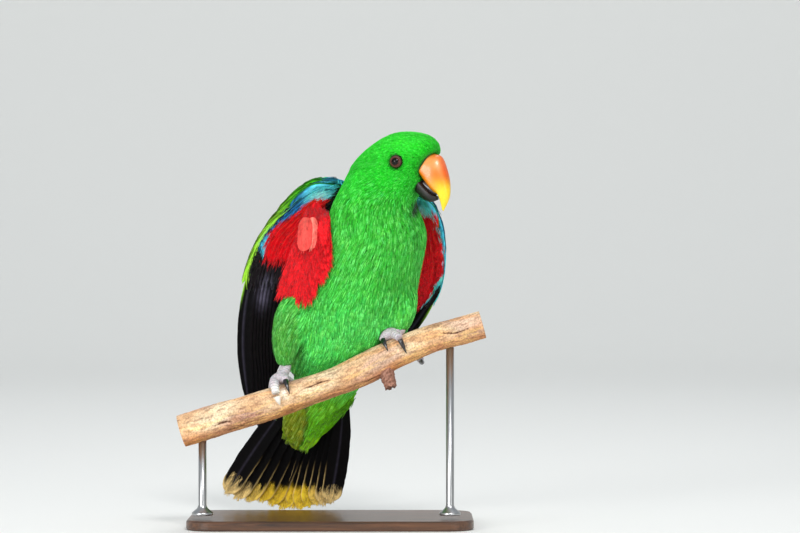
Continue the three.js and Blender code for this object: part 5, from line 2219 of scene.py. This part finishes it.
                # The under side is painted as a darker copy of the green, as painted shade
                paint = plain(
                    base, base * 0.7, edge=base * 0.7, tip=blend(base, (Plume.VENT_TIP, np.array(0.5))), tip_from=0.7
                )
                line = (at, side, np.cross(side, along))
                tier.lay(VaneShape(COVERT_CUT, rows=14, columns=7, split=0.16), line, 5.4, paint)
                tier.fringe(line, 5.4, paint, True, Strands(170, 7.5, 0.4, 0.6))


@dataclass
class Bill:
    """The parrot's bill: a deep hooked upper half over a short black scoop, with the tongue's tip."""

    culmen: Array = table([[35.5, 12], [42.6, 9.2], [46.8, 0.2], [49.6, -11], [49.4, -23], [44.4, -34]])
    tomium: Array = table([[25.5, -4.8], [31.6, -13.2], [36.4, -18.6], [40.2, -21], [42.2, -26.4], [43.4, -33.2]])
    half: Array = table([9.8, 9.6, 8.4, 6.8, 4.2, 0.9])
    rim: Array = table([[24, -7.6], [30.5, -15], [35.2, -20], [39, -22.2]])
    keel: Array = table([[21, -19], [27.6, -24.4], [33.4, -26.6], [39.2, -25.2]])
    low_half: Array = table([7.6, 7.2, 5.8, 2.6])

    def sheath(
        self, high: Array, low: Array, half: Array, rows: int, around: int, upper: bool
    ) -> tuple[Array, Array, Array]:
        """Makes a horny sheath between two lines in the head's plane.

        Args:
            high: The higher line.
            low: The lower line.
            half: Its half width along the way.
            rows: How many rings.
            around: How many corners in each.
            upper: Whether it is the upper bill.

        Returns:
            The rings and, for each corner, its share along and its angle round.
        """
        t = np.linspace(0, 1, rows)[:, None]
        angle = angles(around)[None, :]
        s = np.sin(angle)
        if upper:
            full = np.where(s > 0, 0.22 + 0.78 * s, 0.22 * (1 + s))
        else:
            full = np.where(s > 0, 0.8 + 0.2 * s, 0.8 * (1 + s))
        a = Curve(low).at(t[:, 0])[:, None, :]
        b = Curve(high).at(t[:, 0])[:, None, :]
        p = a + (b - a) * full[..., None]
        width = Curve(half).at(t[:, 0]) * np.sign(np.cos(angle)) * np.abs(np.cos(angle)) ** 0.9
        rings = in_head(p[..., 0], width, p[..., 1])
        return rings, np.broadcast_to(t, (rows, around)), np.broadcast_to(angle, (rows, around))

    def upper_colours(self, rise: Array, t: Array, angle: Array) -> Array:
        """Gives the upper bill's colours, from its red-orange ridge to its yellow tip.

        Args:
            rise: Heights above the head's centre.
            t: Shares along it.
            angle: Angles round it.

        Returns:
            One colour for each corner.
        """
        colour = np.broadcast_to(linear("e6b070"), t.shape + (3,))
        colour = blend(colour, ("de7414", smooth(-7, 5, -rise)), ("f7d214", smooth(5, 20, -rise)))
        ridge = smooth(0.72, 0.97, np.sin(angle)) * (1 - smooth(0.4, 0.7, t))
        colour = blend(colour, ("dd4a14", ridge * 0.8))
        base = 1 - smooth(0.1, 0.4, t)
        rim = (1 - smooth(-0.3, 0.5, np.sin(angle))) * (1 - smooth(0.4, 0.7, t))
        return blend(colour, ("e0760c", np.maximum(rim, base * 0.7) * 0.85))

    def build(self) -> None:
        """Builds both halves and the tongue."""
        stock = MeshStock()
        rings, t, angle = self.sheath(self.culmen, self.tomium, self.half, 48, 48, True)
        stock.add_rings(rings, self.upper_colours(rings[..., 2] - HEAD_AT[2], t, angle), flip=True)
        upper = stock.make("bill_upper_horn", HornFinish("bill_keratin_polished", 0.36, 0.25, 2.5).make(), bake=False)
        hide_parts("bill_upper")
        stock = MeshStock()
        rings, _, _ = self.sheath(self.rim, self.keel, self.low_half, 32, 40, False)
        stock.add_rings(rings, linear("1d191b"), flip=True)
        lower = stock.make(
            "bill_lower_horn",
            HornFinish("mandible_keratin_polished", 0.5, 0.05, 1.6, marked=False, colour="120c0a").make(),
            bake=False,
        )
        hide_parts("bill_lower")
        stock = MeshStock()
        line = in_head(np.array([27, 32, 36, 38.6]), np.zeros(4), np.array([-11.5, -15.6, -18.6, -20.2]))
        rings, _, _ = tube_rings(line, np.array([3.2, 3.4, 2.9, 1.4]), 16, 20)
        stock.add_rings(rings, linear("3b3236"))
        tongue = stock.make(
            "tongue", HornFinish("tongue_skin_moist", 0.35, 0.4, 1.0, marked=False, colour="3a3034").make(),
            bake=False,
        )


@dataclass
class Eye:
    """An eye with its iris and pupil, and the bare ring of lids that holds it."""

    sign: int
    out: float = 20.7
    radius: float = 5.4
    lid_radius: float = 3.5
    lid_out: float = 3.85

    def build(self) -> None:
        """Builds the ball and its lids."""
        centre = in_head(EYE_FORWARD, self.sign * self.out, EYE_UP)
        axis = unit(HEAD_LEFT * self.sign + HEAD_FRONT * 0.12)
        across = unit(np.cross([0, 0, 1.0], axis))
        rise = np.cross(axis, across)
        v, a, _, level, tall = ball_grid(40, 40, 0.01)
        # The cornea bulges a little in front of the iris
        swell = 1 + 0.05 * np.exp(-((v / 0.55) ** 2))
        ball = np.cos(v)[..., None] * axis + level[..., None] * across + tall[..., None] * rise
        form = centre + self.radius * swell[..., None] * ball
        off = np.degrees(v) + 0 * a
        colour = blend(
            "050404", ("4a1c12", smooth(30, 33, off)), ("2a0f0b", smooth(37, 43, off)),
            ("0d0706", smooth(44, 50, off)),
        )
        streak = 1 + 0.3 * np.sin(a * 23) * (smooth(31, 35, off) * (1 - smooth(38, 44, off)))
        side = "left" if self.sign > 0 else "right"
        stock = MeshStock()
        stock.add_rings(form, colour * streak[..., None])
        ball = stock.make("eye_ball_" + side, EyeFinish("wet_eye_" + side).make(), bake=False)
        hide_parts("eye_" + side)
        self.lids(centre, axis, across, rise, side)

    def lids(self, centre: Array, axis: Array, across: Array, rise: Array, side: str) -> None:
        """Builds the ring of lids: an inner margin, a wrinkled roll and a skirt under the feathers.

        Args:
            centre: The eye's centre.
            axis: The way it looks.
            across: The level direction across it.
            rise: The upward direction across it.
            side: Which eye it is.
        """
        a = angles(72)[:, None]
        profile = np.array(
            [
                [-0.35, -0.3], [-0.4, 0.1], [-0.25, 0.35], [0, 0.42], [0.28, 0.32], [0.55, 0.05], [1.2, -0.5],
                [1.4, -1.4], [0.2, -1.6],
            ]
        )
        # A parrot's lids are nearly round, a touch longer than high
        wobble = 1 + 0.05 * np.sin(a * 17 + 1) + 0.04 * np.sin(a * 29)
        ring = self.lid_radius * (1 + 0.03 * np.cos(2 * a))
        radius = ring + profile[None, :, 0] * wobble
        depth = self.lid_out + profile[None, :, 1] * wobble
        form = centre + depth[..., None] * axis + radius[..., None] * (
            np.cos(a)[..., None] * across + np.sin(a)[..., None] * rise
        )
        rows, around = form.shape[:2]
        i, j = np.meshgrid(np.arange(rows), np.arange(around), indexing="ij")
        n00 = (i * around + j).ravel()
        n01 = (i * around + (j + 1) % around).ravel()
        n10 = (((i + 1) % rows) * around + j).ravel()
        n11 = (((i + 1) % rows) * around + (j + 1) % around).ravel()
        faces = np.concatenate([np.stack([n00, n01, n11], 1), np.stack([n00, n11, n10], 1)])
        shade = np.array([0.35, 0.6, 1.0, 1.15, 0.95, 0.7, 0.6, 0.5, 0.4])
        colours = (linear("5a281a")[None, None, :] * shade[None, :, None] * wobble[..., None]).reshape(-1, 3)
        stock = MeshStock()
        stock.add(form.reshape(-1, 3), faces, colours)
        lids = stock.make("lids_" + side, SkinFinish("lid_skin_bare_" + side, 0.5).make(), bake=False)


# Each toe's name, place along the perch, spread, reach round it in degrees and radius
TOES = {
    "right": (
        ("inner_front", 2.6, 1.8, 20.0, 3.2),
        ("outer_front", -4.0, -1.6, 64.0, 3.7),
        ("inner_back", 4.0, 7.0, -100.0, 2.9),
        ("outer_back", -5.0, -8.0, -108.0, 3.1),
    ),
    "left": (
        ("inner_front", -4.6, -1.4, 14.0, 3.0),
        ("outer_front", 1.8, 4.4, 46.0, 3.5),
        ("inner_back", -4.0, -6.0, -100.0, 2.9),
        ("outer_back", 5.0, 10.0, -150.0, 3.1),
    ),
}


class Branch:
    """The perch's own line, for the bark and for the toes that hold it."""

    def __init__(self) -> None:
        """Works out the line once, evenly spaced."""
        line = Curve(PERCH_LINE)
        self.middle = line.at(line.even(600))
        self.along = unit(np.gradient(self.middle, axis=0))
        self.radius = Curve(PERCH_RADII).at(np.linspace(0, 1, 601))[:, 0]

    def over(self, x: Array, degrees: Array, clear: Array) -> Array:
        """Gives places over the bark.

        Args:
            x: Where along the branch.
            degrees: How far round it from its top, towards the viewer.
            clear: How far off the bark.

        Returns:
            Places in millimetres.
        """
        x, degrees, clear = (np.asarray(v, float) for v in (x, degrees, clear))
        here = columns_at(x, self.middle[:, 0], self.middle)
        way = columns_at(x, self.middle[:, 0], self.along)
        top = np.stack([-way[..., 2], np.zeros_like(x), way[..., 0]], -1)
        reach = np.interp(x, self.middle[:, 0], self.radius) + clear
        a = np.radians(degrees)
        return here + top * (reach * np.cos(a))[..., None] + TO_VIEWER * (reach * np.sin(a))[..., None]


@dataclass
class Foot:
    """One gripping foot: two toes in front and two behind, scaled above, padded below, with black claws."""

    side: str
    grip: float
    branch: Branch
    scute: float = 2.3
    skin: str = "d3c9d0"

    def __post_init__(self) -> None:
        """Works out how far the branch runs level for each millimetre along it."""
        self.slope = float(np.interp(self.grip, self.branch.middle[:, 0], self.branch.along[:, 0]))

    def toe_line(self, toe: tuple[str, float, float, float, float]) -> Array:
        """Gives a toe's own line round the branch.

        Args:
            toe: Its name, place, spread, reach and radius.

        Returns:
            Five places along it.
        """
        _, along, spread, reach, radius = toe
        t = np.linspace(0, 1, 5)
        x = self.grip + (along + spread * t) * self.slope
        return self.branch.over(x, reach * t, np.full(5, radius + 0.55))

    def scaled_tube(self, stock: MeshStock, line: Array, radii: Array, steps: int, tint: Array) -> None:
        """Adds a toe or shank whose skin is ringed with scutes.

        Args:
            stock: Where it goes.
            line: Its middle line.
            radii: Its radius along the way.
            steps: How many rings.
            tint: Its colour, or one for each ring.
        """
        around = 22
        rings, middle, outs = tube_rings(line, radii, steps, around)
        wave = 0.18 * np.sin(np.linspace(0, 4 * math.pi, around))[None, :]
        phase = (run_along(middle) / self.scute)[:, None] + wave
        plate = np.abs(np.sin(math.pi * phase)) ** 0.5
        rings = rings + outs * ((plate - 0.75) * 0.32)[..., None]
        # Painted shade: darker in the creases between the scutes, lighter on them
        colours = np.broadcast_to(tint, (steps + 1, 3))[:, None, :] * (0.4 + 0.72 * plate)[..., None]
        stock.add_rings(rings, colours)

    def build(self) -> None:
        """Builds the foot and its claws."""
        stock = MeshStock()
        grey = linear(self.skin)
        for toe in TOES[self.side]:
            # The right foot's outer front toe turns near white towards its end
            worn = smooth(0.55, 0.9, np.linspace(0, 1, 61)) * (self.side + toe[0] == "rightouter_front")
            tint = blend(grey, ("fff8f0", worn))
            self.scaled_tube(stock, self.toe_line(toe), np.array([1.12, 0.96, 1.04, 0.9, 0.86]) * toe[4], 60, tint)
        ball = self.branch.over(self.grip, 0.0, 4.9)
        shank = SHANKS[self.side]
        self.scaled_tube(stock, np.array([ball, shank[-1], shank[-2]]), np.array([4.6, 4, 3.5]), 34, grey * 0.95)
        self.pad(stock, ball, grey)
        foot = stock.make("foot_skin_" + self.side, SkinFinish("foot_skin_scaled_" + self.side).make(), bake=False)
        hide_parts("foot_" + self.side)
        claws = MeshStock()
        names = []
        for name, along, spread, reach, radius in TOES[self.side]:
            names.append("claw_" + self.side + "_" + name)
            # The right foot's outer front claw is blunt and near white
            pale = self.side == "right" and name == "outer_front"
            t = np.array([0, 0.35, 0.7, 1.0])
            degrees = reach + math.copysign(1.0, reach) * (11 + t * (26 if pale else 46))
            x = self.grip + (along + spread * (1 + 0.1 * t)) * self.slope
            line = self.branch.over(x, degrees, radius + (1 - radius) * t + 1.1)
            rings, _, _ = tube_rings(line, np.array([1, 0.8, 0.48, 0.12]) * (3.0 if pale else 2.2), 30, 20)
            claws.add_rings(rings, linear("f4ece0" if pale else "141216"))
        claw = claws.make(
            "claws_" + self.side, HornFinish("claw_keratin_polished_" + self.side, 0.3, 0.5, 1.5).make(), bake=False
        )
        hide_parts(*names)

    def pad(self, stock: MeshStock, ball: Array, tint: Array) -> None:
        """Adds the padded ball of the foot, pebbled all over.

        Args:
            stock: Where it goes.
            ball: Its middle.
            tint: Its colour.
        """
        rows, around = 26, 34
        _, _, x, y, z = ball_grid(rows, around, 0.04)
        way = columns_at(self.grip, self.branch.middle[:, 0], self.branch.along)
        top = np.array([-way[2], 0, way[0]])
        form = ball + way * (7.6 * x)[..., None] + -TO_VIEWER * (6.0 * y)[..., None] + top * (4.8 * z)[..., None]
        bumps = ripple(form, 2.0, 51)
        form = form + unit(form - ball) * (0.22 * bumps)[..., None]
        shade = (0.85 + 0.25 * bumps).reshape(-1)
        colours = tint * np.concatenate([shade, [1, 1]])[:, None]
        stock.add(closed_rings(form), ring_faces(rows, around), colours)


@dataclass
class Perch:
    """The cut branch: weathered bark with cracks and a broken stub, and sawn ends."""

    branch: Branch
    rows: int = 420
    around: int = 96

    def relief(self, x: Array, angle: Array) -> Array:
        """Gives the bark's height above its mean.

        Args:
            x: Distance along the branch in millimetres.
            angle: Angle round it.

        Returns:
            Heights in millimetres.
        """
        p = np.stack([x * 0.35, 12 * np.cos(angle), 12 * np.sin(angle)], -1)
        q = np.stack([x, 12 * np.cos(angle), 12 * np.sin(angle)], -1)
        height = 0.3 * ripple(p, 9, 21) + 0.2 * ripple(p, 4, 22) + 0.12 * ripple(q, 3, 23)
        # Lengthwise cracks run along the lower left stretch and round the stub
        for centre, start, end, width in (
            (-0.35, -122, -62, 0.07), (-0.75, -90, -48, 0.05), (0.4, -30, 22, 0.05), (-1.0, 10, 60, 0.06),
            (0.1, 60, 108, 0.05),
        ):
            wander = centre + 0.1 * np.sin(x / 9) + 0.05 * np.sin(x / 3.1)
            inside = smooth(start - 6, start + 8, x) * (1 - smooth(end - 8, end + 6, x))
            gap = np.angle(np.exp(1j * (angle - wander)))
            height = height - 0.75 * inside * np.exp(-((gap / width) ** 2)) * smooth(
                -0.5, 0.3, np.sin(x / 7 + centre * 9)
            )
        return np.clip(height, -1.0, 0.42)

    def colours(self, x: Array, angle: Array, height: Array) -> Array:
        """Gives the bark's colours.

        Args:
            x: Distance along the branch.
            angle: Angle round it, a quarter turn being its top.
            height: The relief there.

        Returns:
            One linear colour for each place.
        """
        p = np.stack([x * 0.4, 12 * np.cos(angle), 12 * np.sin(angle)], -1)
        base = blend(
            "e0b285", ("f6dcb6", 0.5 + 0.5 * ripple(p, 17, 31)), ("c49a90", smooth(0.1, 0.8, ripple(p, 24, 32)) * 0.5)
        )
        # A pinkish stretch beside the right foot and a near-white patch under it
        base = blend(
            base, ("b58f8c", np.exp(-(((x + 70) / 10) ** 2) - ((angle - 5.9) / 0.7) ** 2) * 0.7),
            ("fff2e0", np.exp(-(((x + 43) / 3.2) ** 2) - ((angle - 0.45) / 0.6) ** 2) * 0.9),
        )
        under = smooth(0.05, 0.85, -np.sin(angle))
        base = blend(base, ("c4763f", under * 0.75), ("d98f48", smooth(0.2, 0.8, ripple(p, 11, 33)) * 0.45))
        fine = p * [0.5, 1, 1]
        # Painted shade: the bark's deepest hollows, the cracks most of all, are darker brown
        return blend(
            base, ("f4c977", smooth(0.1, 0.6, ripple(fine, 3.1, 35)) * smooth(-0.6, 0.4, -np.sin(angle)) * 0.5),
            ("96644a", smooth(0.25, 0.7, ripple(fine, 2.3, 36)) * 0.5), ("5f3a26", smooth(0.25, 0.7, -height)),
        )

    def build(self) -> None:
        """Builds the bark, the stub and the sawn ends."""
        line = Curve(PERCH_LINE)
        middle = line.at(line.even(self.rows - 1))
        way = unit(np.gradient(middle, axis=0))
        radius = Curve(PERCH_RADII).at(np.linspace(0, 1, self.rows))
        angle = angles(self.around)[None, :]
        x = middle[:, :1] + 0 * angle
        top = np.stack([-way[:, 2], np.zeros(self.rows), way[:, 0]], -1)[:, None, :]
        out = np.sin(angle)[..., None] * top + np.cos(angle)[..., None] * TO_VIEWER
        height = self.relief(x, angle + 0 * x)
        rings = middle[:, None, :] + out * (radius + height)[..., None]
        stock = MeshStock()
        stock.add_rings(rings, self.colours(x, angle + 0 * x, height), flip=True)
        self.stub(stock)
        bark = stock.make("bark", BarkFinish("eucalyptus_bark_weathered").make(), bake=False)
        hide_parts("perch")
        cut = MeshStock()
        for end in (0, -1):
            ring = middle[end] + (rings[end] - middle[end]) * 0.93
            lift = way[end] * (0.12 if end else -0.12)
            disc = np.vstack([ring - lift, ring + lift])
            n = self.around
            k = np.arange(n)
            nxt = (k + 1) % n
            hub = np.vstack([middle[end] - lift, middle[end] + lift])
            back, front = np.full(n, 2 * n), np.full(n, 2 * n + 1)
            fans = [np.stack([nxt, k, back], 1), np.stack([n + k, n + nxt, front], 1)]
            tri = np.concatenate(fans + [np.stack([k, nxt, n + nxt], 1), np.stack([k, n + nxt, n + k], 1)])
            flat = np.concatenate(
                [np.stack([np.cos(angle[0]), np.sin(angle[0])], 1) * radius[end]] * 2 + [np.zeros((2, 2))]
            )
            cut.add(np.vstack([disc, hub]), tri if end else tri[:, ::-1], linear("d9bb88"), vane=flat)
        faces_cut = cut.make("perch_ends", EndGrainFinish("eucalyptus_end_grain_sawn").make(), bake=False, vane=True)

    def stub(self, stock: MeshStock) -> None:
        """Adds the broken knot stub under the branch.

        Args:
            stock: Where it goes.
        """
        line = np.array([[35, -2, 128], [38.4, -5.2, 118.6], [41, -8, 111]], float)
        rings, _, outs = tube_rings(line, np.array([8.2, 6.6, 5.6]), 22, 28)
        rough = 0.55 * ripple(rings, 3.4, 41) + 0.35 * ripple(rings, 1.8, 42)
        share = np.linspace(0, 1, 23)[:, None]
        rings = rings + outs * (rough - 0.5 - 0.5 * share)[..., None]
        ragged = np.array([[0.0, 0.0, -1.0]]) * (ripple(rings[-1], 2.4, 43) * 1.2)[:, None]
        rings[-1] += ragged
        colours = blend("b98874", ("6f4634", 0.5 + 0.5 * ripple(rings, 3, 44))).reshape(-1, 3)
        colours = np.vstack([colours, colours[:1], colours[-1:] * 0.5])
        stock.add(closed_rings(rings), ring_faces(23, 28), colours)


@dataclass
class Stand:
    """The display stand: a walnut base and two steel rods up to the branch."""

    branch: Branch
    rod_x: Span = (-110.0, 88.0)
    rod_radius: float = 3.2

    def build(self) -> None:
        """Builds the rods and dresses the base."""
        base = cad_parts["stand_base"]
        base.data.materials.clear()
        base.data.materials.append(WoodFinish().make())
        steel = SteelFinish().make()
        for name, x in zip(("stand_rod_left", "stand_rod_right"), self.rod_x):
            low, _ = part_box(name)
            floor = low.z * 1000 - SPECIMEN_SHIFT[2]
            top = float(self.branch.over(x, 180.0, 0.2)[2]) + 1.0
            profile = [(0.2, 0), (8.3, 0), (8.5, 0.25), (8.5, 2.1), (8.2, 2.4), (4.3, 5.6), (3.5, 7.2)]
            profile += [(self.rod_radius, 8.4), (self.rod_radius, top - floor - 1)]
            angle = angles(48)
            rings = np.array([[[x + r * math.cos(a), r * math.sin(a), floor + h] for a in angle] for r, h in profile])
            stock = MeshStock()
            stock.add_rings(rings, linear("b9babb"))
            rod = stock.make(name + "_turned", steel, bake=False)
            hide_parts(name)


@dataclass
class Studio:
    """A plain pale sweep, soft boxes and the photograph's camera."""

    camera_mm: tuple[float, float, float] = (48.0, -2300.0, 207.2)
    lens: float = 129.4
    floor_colour: str = "e9e9e6"

    def sweep(self) -> None:
        """Builds the floor as a wide round sheet whose far rim curls up all round."""
        profile = [(0.0, 0.0), (3.0, 0.0)]
        profile += [(3.2 + 1.6 * math.sin(a), 1.6 - 1.6 * math.cos(a)) for a in np.linspace(0.12, math.pi / 2, 14)]
        profile += [(4.8, 2.6)]
        around = 64
        ways = angles(around)
        corners = [(0.0, 0.0, 0.0)] + [(r * math.cos(a), r * math.sin(a), z) for r, z in profile[1:] for a in ways]
        faces = [(0, 1 + k, 1 + (k + 1) % around) for k in range(around)]
        for i in range(len(profile) - 2):
            low, high = 1 + i * around, 1 + (i + 1) * around
            faces += [(low + k, high + k, high + (k + 1) % around, low + (k + 1) % around) for k in range(around)]
        mesh = bpy.data.meshes.new("sweep")
        mesh.from_pydata(corners, [], faces)
        mesh.polygons.foreach_set("use_smooth", np.ones(len(faces), bool))
        paper = Surface("paper_matt", {"Base Color": rgba(self.floor_colour), "Roughness": 0.9})
        mesh.materials.append(paper.material)
        sheet = linked("sweep", mesh)

    def soft_box(
        self, name: str, place: tuple[float, float, float], size: float, watts: float,
        aim_at: tuple[float, float, float] = (0.0, 0.0, 0.19),
    ) -> None:
        """Adds one square soft light.

        Args:
            name: Its name.
            place: Where it stands, in metres.
            size: Its side in metres.
            watts: Its power.
            aim_at: What it points at, the bird if not told otherwise.
        """
        light = bpy.data.lights.new(name, "AREA")
        light.size = size
        light.energy = watts
        lamp = linked(name, light)
        lamp.location = place
        aim = Vector(aim_at) - Vector(place)
        lamp.rotation_euler = aim.to_track_quat("-Z", "Y").to_euler()

    def camera(self) -> None:
        """Stands the camera where the photograph was taken from."""
        lens = bpy.data.cameras.new("camera")
        lens.lens = self.lens
        lens.sensor_width = 36.0
        lens.sensor_fit = "HORIZONTAL"
        lens.clip_end = 50
        eye = linked("camera", lens)
        eye.location = to_row(np.array(self.camera_mm)).tolist()
        eye.rotation_euler = (math.pi / 2, 0.0, 0.0)
        bpy.context.scene.camera = eye

    def build(self) -> None:
        """Sets the whole studio."""
        self.camera()
        self.sweep()
        self.soft_box("key", (0.45, -1.8, 1.55), 0.5, 25)
        self.soft_box("fill", (-1.3, -1.8, 0.6), 0.9, 27)
        self.soft_box("side", (1.1, -1.5, 0.2), 0.6, 3)
        self.soft_box("top", (0.1, 0.5, 1.9), 0.9, 12)
        self.soft_box("backdrop", (0.0, 1.9, 2.9), 2.4, 34, (0.0, 4.6, 0.9))
        world = bpy.data.worlds.new("soft_daylight")
        world.use_nodes = True
        back = world.node_tree.nodes["Background"]
        back.inputs["Color"].default_value = rgba("e4ebf2")
        back.inputs["Strength"].default_value = 0.55
        bpy.context.scene.world = world
        bpy.context.scene.view_settings.view_transform = "Standard"


def main() -> None:
    """Builds the parrot piece by piece."""
    logging.basicConfig(level=logging.INFO, format="%(name)s: %(message)s")
    Studio().build()
    skin = BodySkin().build()
    BodyCoat(skin).build()
    for shape in (RIGHT_WING, LEFT_WING):
        Wing(shape).build()
    Axillaries().build()
    Tail().build()
    Bill().build()
    for sign in (-1, 1):
        Eye(sign).build()
    branch = Branch()
    Perch(branch).build()
    Foot("right", -43.0, branch).build()
    Foot("left", 46.0, branch).build()
    Stand(branch).build()
    LOG.info("all pieces built")


if __name__ == "__main__":
    main()
